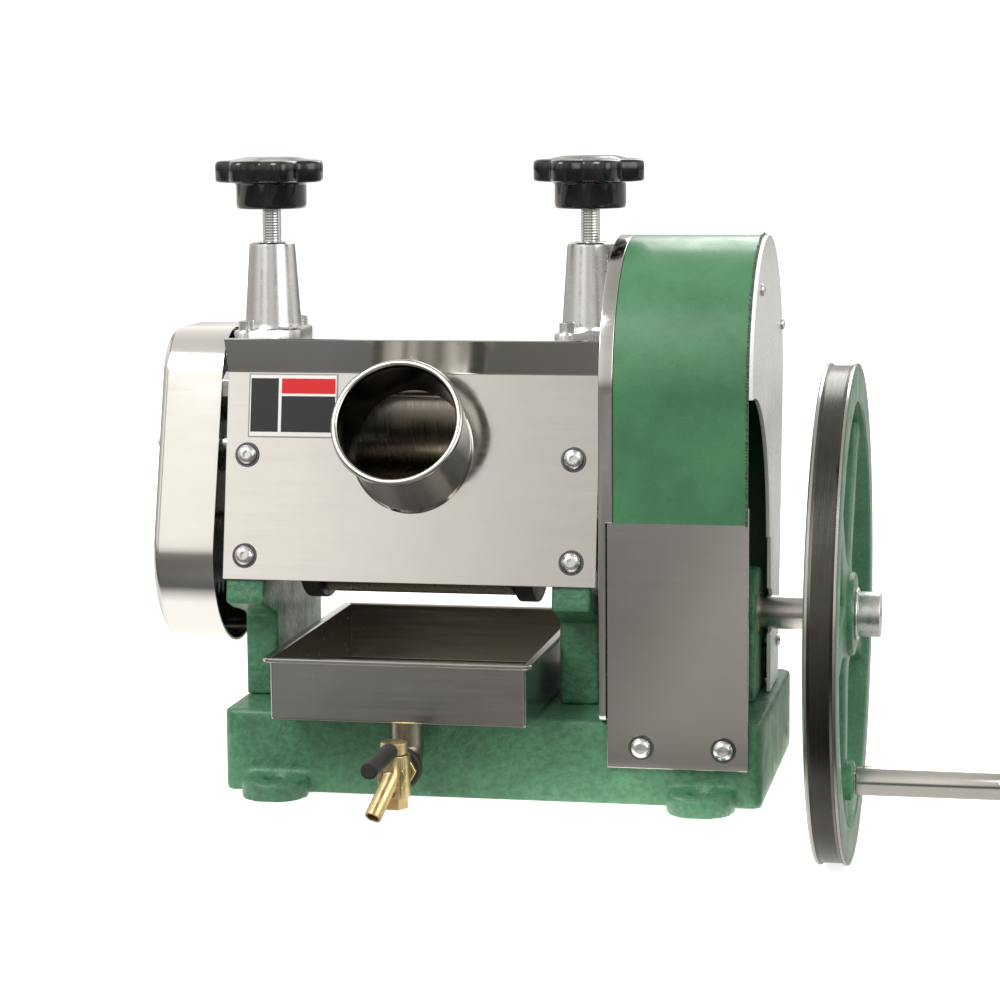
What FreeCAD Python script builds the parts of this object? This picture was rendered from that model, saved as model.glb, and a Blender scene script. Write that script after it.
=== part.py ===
import FreeCAD, Part
import math
import os

import Sketcher
from FreeCAD import Placement, Rotation, Vector

# Manual sugarcane juicer: three geared rollers between two cast side frames on a hollow cast base,
# turned by a spoked handwheel. X runs to the right, Y to the back and Z up. The origin is the centre
# of the base's bottom face.

doc = FreeCAD.newDocument("SugarcaneJuicer")
sheet = doc.addObject("Spreadsheet::Sheet", "Sizes")

SIZES = [
    ("base_left_margin", -2.5, "left frame in from the base's left end"),
    ("base_right_margin", 5.5, "gear guard in from the base's right end"),
    ("base_width", 190, "base casting, front to back"),
    ("base_height", 52, "base casting, foot to deck"),
    ("base_wall", 8, "base casting wall"),
    ("base_deck", 9, "base casting deck thickness"),
    ("base_corner", 7, "base casting corner radius"),
    ("base_rib", 6, "thickness of a rib under the deck"),
    ("lug_radius", 21, "bolting lug"),
    ("lug_height", 12, "bolting lug"),
    ("lug_hole_radius", 7, "hole for a 12 mm bench bolt"),
    ("lug_span_x", 268, "hole to hole, left to right"),
    ("lug_reach", 10, "bench bolt hole outside the base's wall"),
    ("frame_spacing", 209.5, "side frame to side frame, centre to centre"),
    ("frame_thickness", 25, "side frame"),
    ("frame_top", 276, "height of the side frames' top"),
    ("frame_ledge", 117, "height of the ledge under the feed plate"),
    ("leg_front_y", -47, "front edge of a frame leg"),
    ("leg_rear_y", 68, "rear edge of a frame leg"),
    ("leg_step", 4.5, "left leg, set in from the frame's outer face"),
    ("frame_bolt_radius", 4, "bolts up through the deck"),
    ("frame_bolt_inset", 7, "left frame's bolts from its inner face"),
    ("pad_height", 14, "thick pad at a frame's top"),
    ("pad_half_x", 20, "half width of that pad"),
    ("pad_half_y", 36, "half depth of that pad"),
    ("plate_thickness", 2, "feed plate sheet"),
    ("plate_foot_y", -77.5, "front face at the bottom edge"),
    ("plate_foot_z", 132, "bottom edge of the feed plate"),
    ("plate_bend_y", -55, "front face at the bend"),
    ("plate_bend_z", 262, "bend line of the feed plate"),
    ("plate_lip_y", -64, "front of the lip's top edge"),
    ("plate_lip_z", 283, "top of the lip"),
    ("plate_screw_radius", 4, "feed plate and front panel screws"),
    ("plate_screw_length", 26, "feed plate screws"),
    ("plate_screw_low", 15, "lower screws above the plate's bottom edge"),
    ("plate_screw_high", 78, "upper screws above the plate's bottom edge"),
    ("plate_left_over", 1.5, "plate past the left frame"),
    ("plate_right_over", 3, "plate past the right frame"),
    ("tube_offset", 1.75, "feed tube's axis, right of the middle between the frames"),
    ("tube_mouth_y", -103, "centre of the feed tube's mouth"),
    ("tube_mouth_z", 236, "centre of the feed tube's mouth"),
    ("tube_tilt", 27, "fall of the feed tube's axis, degrees"),
    ("tube_radius", 38, "outside of the feed tube"),
    ("tube_wall", 1.5, "feed tube wall"),
    ("tube_tail", 3, "feed tube past the back of the plate"),
    ("bead_radius", 2.4, "rolled bead round the mouth"),
    ("label_margin", 12.5, "label plate in from the left frame's outer face"),
    ("label_width", 58, "label plate"),
    ("label_height", 40, "label plate"),
    ("label_low_z", 221, "bottom edge of the label plate"),
    ("label_thickness", 0.6, "label plate"),
    ("gear_module", 3, "module of every gear"),
    ("gear_backlash", 0.3, "play at the pitch line"),
    ("nip_gap", 1, "gap between two rollers"),
    ("front_roller_y", -17, "axis of the front roller"),
    ("front_roller_z", 156.6, "axis of the front roller"),
    ("top_lean", 14.5, "top roller's lean behind the front roller, degrees"),
    ("rear_lean", 52, "rear roller's lean behind the top roller, degrees"),
    ("drive_lean", 27.8, "wheel axle's lean behind the front roller, degrees"),
    ("roller_length", 123.5, "barrel of each roller"),
    ("shaft_radius", 11, "journals of the top and front rollers and the wheel shaft"),
    ("rear_shaft_radius", 9, "journals of the rear roller"),
    ("bush_wall", 3, "bronze bush wall"),
    ("running_gap", 0.05, "radial clearance of a turning fit"),
    ("collar_width", 12, "black collar beside the front roller's barrel"),
    ("collar_lip", 4, "collar's rim past the barrel"),
    ("end_gear_gap", 19.5, "left frame to the end gears"),
    ("end_gear_width", 16, "end gears"),
    ("shaft_end", 6, "shaft past the end gear"),
    ("drive_gap", 26, "right frame to the main gear"),
    ("drive_gear_width", 22, "main gear, compound gear rows and pinion"),
    ("drive_row_gap", 6, "gap between the two gear rows"),
    ("key_size", 6, "parallel key section"),
    ("left_cover_gap", 9, "left frame to the cover's edge"),
    ("left_cover_depth", 40.5, "left cover"),
    ("cover_sheet", 1.5, "stainless cover sheet"),
    ("cover_low_radius", 60, "round bottom of the left cover"),
    ("cover_corner", 36, "round top corners of the left cover"),
    ("spacer_radius", 5, "posts that carry the covers"),
    ("cover_screw_radius", 2.5, "cover screws"),
    ("guard_gap", 8.5, "right frame to the gear guard"),
    ("guard_width", 94, "gear guard, inner cheek to outer cheek"),
    ("guard_radius", 92.5, "round top of the gear guard"),
    ("guard_overhang", 5, "gear guard in front of the base"),
    ("guard_z", 254, "centre of the round top"),
    ("guard_sheet", 1.6, "green band sheet"),
    ("cheek_rim", 9, "inner cheek's rim"),
    ("outer_cheek", 2.5, "outer cheek plate"),
    ("panel_top", 176, "green band's lower front edge"),
    ("panel_bottom", 24, "front panel's lower edge"),
    ("panel_screw_z", 37, "front panel screws"),
    ("panel_screw_left", 26, "left panel screw in from the guard's left side"),
    ("panel_screw_right", 17.5, "right panel screw in from the guard's right side"),
    ("outboard_boss_radius", 29, "outboard bearing boss"),
    ("outboard_thickness", 12, "outboard bearing bracket"),
    ("bracket_half_width", 30, "outboard bracket's web at the deck, half of it"),
    ("bracket_foot_width", 72, "outboard bracket's foot, front to back"),
    ("bracket_foot_height", 10, "outboard bracket's foot"),
    ("bracket_foot_reach", 18, "outboard bracket's foot past its web"),
    ("bracket_bolt_spread", 27, "wheel axle to a bolt of the bracket"),
    ("wheel_gap", 29, "base to the handwheel's rim"),
    ("wheel_radius", 159.5, "handwheel"),
    ("rim_width", 20, "handwheel rim along the shaft"),
    ("rim_depth", 24, "handwheel rim, outside to inside"),
    ("groove_depth", 3, "groove round the rim"),
    ("groove_width", 15, "groove round the rim"),
    ("hub_radius", 27, "handwheel hub"),
    ("hub_back", 9, "hub past the rim's inboard face"),
    ("spoke_root", 26, "spoke width at the hub"),
    ("spoke_tip", 15, "spoke width at the rim"),
    ("spoke_thickness", 10, "spoke along the shaft"),
    ("crank_radius", 108.5, "handwheel axis to handle axis"),
    ("boss_radius", 13, "handle boss on the lowest spoke"),
    ("handle_radius", 9.5, "handle tube outside"),
    ("handle_wall", 2, "handle tube"),
    ("handle_length", 92, "handle tube"),
    ("spindle_radius", 5, "handle spindle"),
    ("cap_radius", 14.5, "hub screw head"),
    ("cap_height", 14, "hub screw head"),
    ("screw_radius", 6, "pressure screw"),
    ("screw_gap", 0.08, "radial clearance of the pressure screw in its housing"),
    ("housing_foot", 10, "spring housing flange"),
    ("housing_screw_x", 11, "housing's axis to a flange screw, left to right"),
    ("housing_screw_y", 26, "housing's axis to a flange screw, front to back"),
    ("housing_screw_radius", 3, "flange screws"),
    ("ear_radius", 8, "ears of the housing's flange"),
    ("housing_height", 65.6, "spring housing"),
    ("housing_low_radius", 18.4, "spring housing at its flange"),
    ("housing_top_radius", 14.8, "spring housing at its top"),
    ("housing_cap", 9, "solid top of the spring housing"),
    ("spring_bore", 12, "bore of the spring housing"),
    ("spring_radius", 8.4, "spring coil centre line"),
    ("spring_wire", 1.6, "spring wire radius"),
    ("spring_turns", 7, "coils"),
    ("seat_thickness", 4, "spring seat"),
    ("seat_z", 318, "underside of the spring seat"),
    ("knob_z", 363, "underside of the knob hub"),
    ("knob_hub_radius", 22.7, "knob hub"),
    ("knob_hub_height", 17, "knob hub"),
    ("star_radius", 36, "knob lobes' reach"),
    ("star_lobe", 9, "knob lobe radius"),
    ("star_thickness", 14, "knob star"),
    ("knob_dome", 2, "raised middle of the knob"),
    ("dome_radius", 24, "raised middle of the knob at its foot"),
    ("block_width", 34, "sliding bearing block"),
    ("block_height", 44, "sliding bearing block"),
    ("slide_gap", 0.3, "clearance beside a sliding piece"),
    ("tray_left_gap", 18.5, "left frame to the tray"),
    ("tray_right_gap", 6, "tray to the right frame"),
    ("tray_front_gap", 22, "tray's front face before the outlet pipe's axis"),
    ("tray_rear_gap", 25, "tray's back, in from the base's rear edge"),
    ("tray_low_z", 54, "tray floor's underside"),
    ("tray_height", 39, "tray"),
    ("tray_sheet", 1.5, "tray sheet"),
    ("tray_rim", 4.5, "folded rim of the tray"),
    ("rim_sheet", 2.5, "height of the folded rim"),
    ("rail_inset", 30, "tray rail from the tray's side"),
    ("rail_width", 12, "tray rail on the deck"),
    ("pipe_offset", 7.25, "outlet pipe's axis, right of the middle between the frames"),
    ("pipe_gap", 14, "outlet pipe's axis in front of the base"),
    ("pipe_radius", 10.3, "outlet pipe outside"),
    ("pipe_wall", 2, "outlet pipe"),
    ("pipe_bend", 12, "outlet elbow centre line"),
    ("outlet_z", 25.5, "axis of the tap"),
    ("gasket_radius", 13, "rubber gasket"),
    ("gasket_width", 6, "rubber gasket"),
    ("nut_radius", 11.4, "brass nut"),
    ("nut_width", 5, "brass nut"),
    ("tap_radius", 8.5, "tap barrel"),
    ("tap_bore", 5, "tap bore"),
    ("plug_radius", 6, "tap plug"),
    ("plug_top_z", 46, "top of the tap plug"),
    ("lever_radius", 3.4, "tap lever rod"),
    ("sleeve_radius", 5.3, "black sleeve of the tap lever"),
    ("lever_length", 64, "tap lever"),
    ("spout_length", 30, "tap spout"),
    ("spout_radius", 5.2, "tap spout"),
    ("tie_bar_radius", 6, "tie bar"),
    ("tie_nut_radius", 10, "tie bar nut"),
    ("tie_nut_height", 6.5, "tie bar nut"),
    ("turner_inner", 43, "trash turner's face from the top roller's axis"),
    ("turner_thickness", 5, "trash turner"),
    ("fit_gap", 0.3, "clearance of a bolt or tube in its hole"),
]

for row, (alias, number, note) in enumerate(SIZES, 1):
    sheet.set(f"A{row}", note)
    sheet.set(f"B{row}", str(number))
    sheet.setAlias(f"B{row}", alias)
doc.recompute()


class Size:
    """A number together with the expression that works it out from the sheet."""

    def __init__(self, value, words=None):
        self.value = float(value)
        self.words = words or f"({self.value:.9g})"

    def __add__(self, other):
        other = as_size(other)
        return Size(self.value + other.value, f"({self.words} + {other.words})")

    def __sub__(self, other):
        other = as_size(other)
        return Size(self.value - other.value, f"({self.words} - {other.words})")

    def __mul__(self, other):
        other = as_size(other)
        return Size(self.value * other.value, f"({self.words} * {other.words})")

    def __truediv__(self, other):
        other = as_size(other)
        return Size(self.value / other.value, f"({self.words} / {other.words})")

    def __radd__(self, other):
        return as_size(other) + self

    def __rsub__(self, other):
        return as_size(other) - self

    def __rmul__(self, other):
        return as_size(other) * self

    def __rtruediv__(self, other):
        return as_size(other) / self

    def __neg__(self):
        return as_size(0) - self


def as_size(number):
    return number if isinstance(number, Size) else Size(number)


def sine(degrees):
    return Size(math.sin(math.radians(degrees.value)), f"sin({degrees.words})")


def cosine(degrees):
    return Size(math.cos(math.radians(degrees.value)), f"cos({degrees.words})")


class Sheet:
    """Gives each cell of the sheet by its alias."""

    def __getattr__(self, alias):
        return Size(sheet.get(alias), f"Sizes.{alias}")


cell = Sheet()

UPRIGHT = Rotation()
ALONG_X = Rotation(Vector(0, 1, 0), 90)
ALONG_Y = Rotation(Vector(1, 0, 0), -90)
FACING_FRONT = Rotation(Vector(1, 0, 0), 90)
UPSIDE_DOWN = Rotation(Vector(1, 0, 0), 180)
ORIGIN = (0, 0, 0)

nodes = []


def node(label, thing):
    """Names a finished sub-part; the name is also its file's name."""
    thing.Label = label
    nodes.append(thing)
    return thing


def bind(thing, size_name, size):
    thing.setExpression(size_name, as_size(size).words)


def place(thing, at, turn=UPRIGHT):
    """Puts a thing where three sizes say, turned as given."""
    thing.Placement = Placement(Vector(*[as_size(value).value for value in at]), turn)
    for axis, value in zip("xyz", at):
        bind(thing, f"Placement.Base.{axis}", value)
    return thing


def box(length, width, height, at, turn=UPRIGHT):
    thing = doc.addObject("Part::Box", "Block")
    bind(thing, "Length", length)
    bind(thing, "Width", width)
    bind(thing, "Height", height)
    return place(thing, at, turn)


def cylinder(radius, height, at, turn=UPRIGHT):
    thing = doc.addObject("Part::Cylinder", "Round")
    bind(thing, "Radius", radius)
    bind(thing, "Height", height)
    return place(thing, at, turn)


def cone(low_radius, top_radius, height, at, turn=UPRIGHT):
    thing = doc.addObject("Part::Cone", "Taper")
    bind(thing, "Radius1", low_radius)
    bind(thing, "Radius2", top_radius)
    bind(thing, "Height", height)
    return place(thing, at, turn)


def ring(ring_radius, tube_radius, at, turn=UPRIGHT):
    thing = doc.addObject("Part::Torus", "Ring")
    bind(thing, "Radius1", ring_radius)
    bind(thing, "Radius2", tube_radius)
    return place(thing, at, turn)


def hexagon(radius, height, at, turn=UPRIGHT):
    thing = doc.addObject("Part::Prism", "Hexagon")
    thing.Polygon = 6
    bind(thing, "Circumradius", radius)
    bind(thing, "Height", height)
    return place(thing, at, turn)


def joined(*things):
    thing = doc.addObject("Part::MultiFuse", "Joined")
    thing.Shapes = list(things)
    return thing


def group(*things):
    """Separate solids kept in one sub-part."""
    thing = doc.addObject("Part::Compound", "Group")
    thing.Links = list(things)
    return thing


def cut(base, *tools):
    thing = doc.addObject("Part::Cut", "Trimmed")
    thing.Base = base
    thing.Tool = tools[0] if len(tools) == 1 else joined(*tools)
    return thing


def tube(outer_radius, inner_radius, height, at, turn=UPRIGHT):
    return cut(cylinder(outer_radius, height, at, turn), cylinder(inner_radius, height, at, turn))


def solid(shape, at=ORIGIN, turn=UPRIGHT):
    """A shape worked out in this script, for forms that have no ready-made object."""
    thing = doc.addObject("Part::Feature", "Form")
    thing.Shape = shape
    return place(thing, at, turn)


def new_sketch(plane):
    body = doc.addObject("PartDesign::Body", "Body")
    sketch = body.newObject("Sketcher::SketchObject", "Outline")
    base_plane = [item for item in body.Origin.OriginFeatures if item.Role == plane][0]
    sketch.AttachmentSupport = [(base_plane, "")]
    sketch.MapMode = "FlatFace"
    return body, sketch


def hold(sketch, item, point, across, up):
    """Fixes a sketch point at two sizes from the sketch's origin."""
    for kind, size in (("DistanceX", across), ("DistanceY", up)):
        size = as_size(size)
        index = sketch.addConstraint(Sketcher.Constraint(kind, -1, 1, item, point, size.value))
        sketch.setExpression(f"Constraints[{index}]", size.words)


def pad(body, sketch, length, start, axis):
    """Pads the sketch, with its near face at the start along the named axis."""
    feature = body.newObject("PartDesign::Pad", "Pad")
    feature.Profile = sketch
    bind(feature, "Length", length)
    bind(body, f"Placement.Base.{axis}", start)
    return body


def outline(corners, length, start, plane="YZ_Plane", axis="x"):
    """A flat piece whose outline is straight lines between the corners."""
    body, sketch = new_sketch(plane)
    points = [Vector(as_size(across).value, as_size(up).value, 0) for across, up in corners]
    count = len(points)
    for index in range(count):
        sketch.addGeometry(Part.LineSegment(points[index], points[(index + 1) % count]), False)
    for index in range(count):
        sketch.addConstraint(Sketcher.Constraint("Coincident", index, 2, (index + 1) % count, 1))
        hold(sketch, index, 1, *corners[index])
    return pad(body, sketch, length, start, axis)


def belt(circles, length, start, plane="YZ_Plane", axis="x"):
    """A flat piece whose outline runs round circles like a belt, anticlockwise."""
    body, sketch = new_sketch(plane)
    spots = [[as_size(value).value for value in circle] for circle in circles]
    count = len(spots)
    normals = []
    for index, (across, up, radius) in enumerate(spots):
        next_across, next_up, next_radius = spots[(index + 1) % count]
        run = math.hypot(next_across - across, next_up - up)
        heading = math.atan2(next_up - up, next_across - across)
        normals.append(heading - math.acos((radius - next_radius) / run))
    for index, (across, up, radius) in enumerate(spots):
        centre = Vector(across, up, 0)
        start_angle, end_angle = normals[index - 1], normals[index]
        circle = Part.Circle(centre, Vector(0, 0, 1), radius)
        sketch.addGeometry(Part.ArcOfCircle(circle, start_angle, end_angle), False)
        leave = Vector(math.cos(end_angle), math.sin(end_angle), 0)
        next_across, next_up, next_radius = spots[(index + 1) % count]
        meet = Vector(next_across, next_up, 0) + leave * next_radius
        sketch.addGeometry(Part.LineSegment(centre + leave * radius, meet), False)
    for index, (across, up, radius) in enumerate(circles):
        arc, line, next_arc = 2 * index, 2 * index + 1, 2 * ((index + 1) % count)
        sketch.addConstraint(Sketcher.Constraint("Tangent", arc, 2, line, 1))
        sketch.addConstraint(Sketcher.Constraint("Tangent", line, 2, next_arc, 1))
        hold(sketch, arc, 3, across, up)
        radius = as_size(radius)
        place_in_list = sketch.addConstraint(Sketcher.Constraint("Radius", arc, radius.value))
        sketch.setExpression(f"Constraints[{place_in_list}]", radius.words)
    return pad(body, sketch, length, start, axis)


# Teeth. The main gear and the small row of the compound gear add up to two end gears, so that
# both pairs keep the same distance between the top and front rollers.
PINION_TEETH = 13
LARGE_ROW_TEETH = 26
SMALL_ROW_TEETH = 14
MAIN_TEETH = 40
END_TEETH = 27
REAR_TEETH = 18
PRESSURE_ANGLE = 20
TOOTH_HEAD = 0.85
TOOTH_FOOT = 1.25


def hypotenuse(across, up):
    across, up = as_size(across), as_size(up)
    words = f"sqrt({across.words} ^ 2 + {up.words} ^ 2)"
    return Size(math.hypot(across.value, up.value), words)


def gear_distance(teeth, mate_teeth):
    return cell.gear_module * (teeth + mate_teeth) / 2


def pitch_radius(teeth):
    return cell.gear_module * teeth / 2


def tip_radius(teeth):
    return cell.gear_module * (teeth / 2 + TOOTH_HEAD)


# Planes and axes that the pieces share. The base is as long as the frames and the guard need.
press_length = cell.frame_spacing + cell.frame_thickness
base_length = cell.base_left_margin + press_length + cell.guard_gap + cell.guard_width + cell.base_right_margin
frame_mid_x = cell.base_left_margin - base_length / 2 + press_length / 2
left_x = frame_mid_x - cell.frame_spacing / 2
right_x = frame_mid_x + cell.frame_spacing / 2
tube_x = frame_mid_x + cell.tube_offset
pipe_x = frame_mid_x + cell.pipe_offset
left_out = left_x - cell.frame_thickness / 2
left_in = left_x + cell.frame_thickness / 2
right_in = right_x - cell.frame_thickness / 2
right_out = right_x + cell.frame_thickness / 2
label_x = left_out + cell.label_margin

roller_distance = gear_distance(END_TEETH, END_TEETH)
rear_distance = gear_distance(END_TEETH, REAR_TEETH)
drive_distance = gear_distance(PINION_TEETH, LARGE_ROW_TEETH)
front_y, front_z = cell.front_roller_y, cell.front_roller_z
top_y = front_y + roller_distance * sine(cell.top_lean)
top_z = front_z + roller_distance * cosine(cell.top_lean)
rear_y = top_y + rear_distance * sine(cell.rear_lean)
rear_z = top_z - rear_distance * cosine(cell.rear_lean)
wheel_y = front_y + drive_distance * sine(cell.drive_lean)
wheel_z = front_z - drive_distance * cosine(cell.drive_lean)

barrel_radius = (roller_distance - cell.nip_gap) / 2
rear_barrel_radius = rear_distance - barrel_radius - cell.nip_gap
barrel_x = frame_mid_x - cell.roller_length / 2
bush_radius = cell.shaft_radius + cell.bush_wall
rear_bush_radius = cell.rear_shaft_radius + cell.bush_wall

plate_rise = cell.plate_bend_z - cell.plate_foot_z
plate_slope = (cell.plate_bend_y - cell.plate_foot_y) / plate_rise
plate_run = hypotenuse(cell.plate_bend_y - cell.plate_foot_y, plate_rise)
plate_lean = math.degrees(math.atan(plate_slope.value))
PLATE_NORMAL = Rotation(Vector(1, 0, 0), 90 - plate_lean)
plate_through = cell.plate_thickness * plate_run / plate_rise


def plate_front(height):
    """Y of the feed plate's front face at a height."""
    return cell.plate_foot_y + (height - cell.plate_foot_z) * plate_slope


def plate_back(height):
    return plate_front(height) + plate_through


# Fasteners, each made at the origin with its head upwards and its shank down.
def button_screw(shank_radius, length, at, turn):
    head = cone(shank_radius * 1.85, shank_radius * 1.35, shank_radius, ORIGIN)
    shank = cylinder(shank_radius, length, (0, 0, -length))
    socket = hexagon(shank_radius * 0.7, shank_radius, (0, 0, shank_radius * 0.4))
    return place(cut(joined(head, shank), socket), at, turn)


def cap_screw(shank_radius, length, at, turn=UPRIGHT):
    head = cylinder(shank_radius * 1.65, shank_radius * 2, ORIGIN)
    shank = cylinder(shank_radius, length, (0, 0, -length))
    socket = hexagon(shank_radius, shank_radius * 1.2, (0, 0, shank_radius))
    return place(cut(joined(head, shank), socket), at, turn)


def hex_bolt(shank_radius, length, at, turn):
    head = hexagon(shank_radius * 1.8, shank_radius * 1.3, ORIGIN)
    shank = cylinder(shank_radius, length, (0, 0, -length))
    return place(joined(head, shank), at, turn)


def hex_nut(radius, bore, height, at, turn):
    nut = cut(hexagon(radius, height, ORIGIN), cylinder(bore, height, ORIGIN))
    return place(nut, at, turn)


def involute(angle):
    return math.tan(angle) - angle


def gear_form(teeth, width, phase, bore):
    """A bored spur gear along the X axis with one tooth centred on the phase, in degrees."""
    module = cell.gear_module.value
    pitch = module * teeth / 2
    tip = pitch + TOOTH_HEAD * module
    root = pitch - TOOTH_FOOT * module
    base = pitch * math.cos(math.radians(PRESSURE_ANGLE))
    pitch_half = math.pi / (2 * teeth) - cell.gear_backlash.value / (2 * pitch)
    base_half = pitch_half + involute(math.radians(PRESSURE_ANGLE))
    flank_start = max(base, root)
    flank_steps = 3

    def spot(radius, angle):
        return Vector(0, radius * math.cos(angle), radius * math.sin(angle))

    def half_angle(radius):
        return base_half - involute(math.acos(base / radius))

    edges = []
    radii = [flank_start + (tip - flank_start) * step / flank_steps for step in range(flank_steps + 1)]
    foot_half = half_angle(flank_start)
    for tooth in range(teeth):
        middle = math.radians(phase) + tooth * 2 * math.pi / teeth
        rising = [spot(radius, middle - half_angle(radius)) for radius in radii]
        falling = [spot(radius, middle + half_angle(radius)) for radius in reversed(radii)]
        if root < flank_start:
            rising.insert(0, spot(root, middle - foot_half))
            falling.append(spot(root, middle + foot_half))
        edges += [Part.LineSegment(*ends).toShape() for ends in zip(rising, rising[1:])]
        edges.append(Part.Arc(rising[-1], spot(tip, middle), falling[0]).toShape())
        edges += [Part.LineSegment(*ends).toShape() for ends in zip(falling, falling[1:])]
        valley = spot(root, middle + math.pi / teeth)
        next_foot = spot(root, middle + 2 * math.pi / teeth - foot_half)
        edges.append(Part.Arc(falling[-1], valley, next_foot).toShape())
    hole = Part.Wire(Part.makeCircle(as_size(bore).value, Vector(0, 0, 0), Vector(1, 0, 0)))
    face = Part.Face([Part.Wire(edges), hole])
    face.validate()
    return face.extrude(Vector(as_size(width).value, 0, 0))


def heading(from_y, from_z, to_y, to_z):
    """Direction from one axis to another, in degrees from +Y towards +Z."""
    return math.degrees(math.atan2(to_z.value - from_z.value, to_y.value - from_y.value))


def mesh_phase(teeth, phase, mate_teeth, direction):
    """Phase of the mate that puts one of its gaps where the gear's tooth meets it."""
    return direction + 180 - teeth / mate_teeth * (phase - direction) + 180 / mate_teeth


to_large_row = heading(wheel_y, wheel_z, front_y, front_z)
to_top = heading(front_y, front_z, top_y, top_z)
to_front = heading(top_y, top_z, front_y, front_z)
to_rear = heading(top_y, top_z, rear_y, rear_z)
large_row_phase = mesh_phase(PINION_TEETH, 0, LARGE_ROW_TEETH, to_large_row)
main_phase = mesh_phase(SMALL_ROW_TEETH, 0, MAIN_TEETH, to_top)
front_end_phase = mesh_phase(END_TEETH, 0, END_TEETH, to_front)
rear_end_phase = mesh_phase(END_TEETH, 0, REAR_TEETH, to_rear)

# Planes along X of the gears and covers.
end_gear_x = left_out - cell.end_gear_gap - cell.end_gear_width
shaft_left = end_gear_x - cell.shaft_end
main_gear_x = right_out + cell.drive_gap
drive_row_x = main_gear_x + cell.drive_gear_width + cell.drive_row_gap
drive_end = drive_row_x + cell.drive_gear_width
cover_edge = left_out - cell.left_cover_gap
cover_face = cover_edge - cell.left_cover_depth
guard_left = right_out + cell.guard_gap
guard_right = guard_left + cell.guard_width
guard_front = -cell.base_width / 2 - cell.guard_overhang
guard_y = guard_front + cell.guard_radius
inner_cheek_plate = 2
outboard_x = guard_right - cell.outer_cheek - cell.outboard_thickness - 4
wheel_x = base_length / 2 + cell.wheel_gap
hub_x = wheel_x - cell.hub_back
rim_face = wheel_x + cell.rim_width
pipe_y = -cell.base_width / 2 - cell.pipe_gap
tray_left = left_in + cell.tray_left_gap
tray_length = right_in - cell.tray_right_gap - tray_left
tray_front = pipe_y - cell.tray_front_gap
tray_depth = cell.base_width / 2 - cell.tray_rear_gap - tray_front

# Places of shared fasteners, as (Y, Z).
tie_bar_spots = [(top_y - 47.3, top_z + 16), (cell.leg_rear_y - 8, cell.frame_ledge + 11)]
left_post_spots = [
    (front_y - 28, front_z + 58.4),
    (front_y + 39, front_z - 35.6),
    (rear_y - 2.5, rear_z + 46.5),
]
guard_post_spots = [
    (guard_y - 47.5, cell.guard_z + 61),
    (guard_y + 77.5, cell.guard_z + 31),
    (wheel_y + 40.8, wheel_z - 26),
]
guard_foot_spots = [
    (front_y - 23, front_z + 23.4),
    (rear_y - 3, rear_z + 24),
    (cell.leg_rear_y - 13, cell.frame_ledge - 14),
]
plate_screw_heights = (cell.plate_foot_z + cell.plate_screw_low, cell.plate_foot_z + cell.plate_screw_high)
panel_screw_x = (guard_left + cell.panel_screw_left, guard_right - cell.panel_screw_right)
leg_bolt_y = (cell.leg_front_y + 22, cell.leg_rear_y - 22)
bracket_bolt_y = (wheel_y - cell.bracket_bolt_spread, wheel_y + cell.bracket_bolt_spread)
bracket_bolt_x = outboard_x - cell.bracket_foot_reach / 2
left_bolt_x = left_in - cell.frame_bolt_inset


def base_casting():
    """Hollow box casting, open underneath, with four bolting lugs, two tray rails and two welded ribs."""
    half_x, half_y, corner = base_length / 2, cell.base_width / 2, cell.base_corner

    def rounded(inset, radius):
        across, up = half_x - inset - radius, half_y - inset - radius
        return [(-across, -up, radius), (across, -up, radius), (across, up, radius), (-across, up, radius)]

    body = belt(rounded(as_size(0), corner), cell.base_height, as_size(0), "XY_Plane", "z")
    hollow_height = cell.base_height - cell.base_deck
    hollow = belt(rounded(cell.base_wall, as_size(4)), hollow_height, as_size(0), "XY_Plane", "z")
    lugs, holes = [], []
    for side_x in (-1, 1):
        for side_y in (-1, 1):
            centre_x, centre_y = cell.lug_span_x / 2 * side_x, (half_y + cell.lug_reach) * side_y
            lugs.append(cylinder(cell.lug_radius, cell.lug_height, (centre_x, centre_y, 0)))
            at = (centre_x, centre_y, -cell.lug_height)
            holes.append(cylinder(cell.lug_hole_radius, cell.lug_height * 3, at))
    rail_height = cell.tray_low_z - cell.base_height - cell.slide_gap
    rail_length = cell.base_width - 2 * cell.base_wall
    tray_right = tray_left + tray_length
    rails = [
        box(cell.rail_width, rail_length, rail_height, (across, -rail_length / 2, cell.base_height))
        for across in (tray_left + cell.rail_inset, tray_right - cell.rail_inset - cell.rail_width)
    ]
    for across in panel_screw_x:
        at = (across, -half_y - 1, cell.panel_screw_z)
        holes.append(cylinder(cell.plate_screw_radius + cell.fit_gap, cell.base_wall + 2, at, ALONG_Y))
    for across, spots in ((left_bolt_x, leg_bolt_y), (right_x, leg_bolt_y), (bracket_bolt_x, bracket_bolt_y)):
        for along in spots:
            at = (across, along, hollow_height - 1)
            holes.append(cylinder(cell.frame_bolt_radius + cell.fit_gap, cell.base_deck + 2, at))
    holes.append(cylinder(2.5, cell.base_wall + 2, (half_x - cell.base_wall - 1, half_y - 28, 15), ALONG_X))
    node("base_casting", cut(joined(cut(body, hollow), *lugs, *rails), *holes))

    rib_length = cell.base_width - cell.base_wall * 2
    ribs = [
        box(cell.base_rib, rib_length, hollow_height, (across, -rib_length / 2, 0))
        for across in (-base_length / 4 - cell.base_rib / 2, base_length / 4 - cell.base_rib / 2)
    ]
    node("base_ribs", group(*ribs))


def housing_screw_places(middle):
    """The two screws of a spring housing's flange, on a diagonal."""
    reach_x, reach_y = cell.housing_screw_x, cell.housing_screw_y
    return (middle - reach_x, top_y - reach_y), (middle + reach_x, top_y + reach_y)


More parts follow.
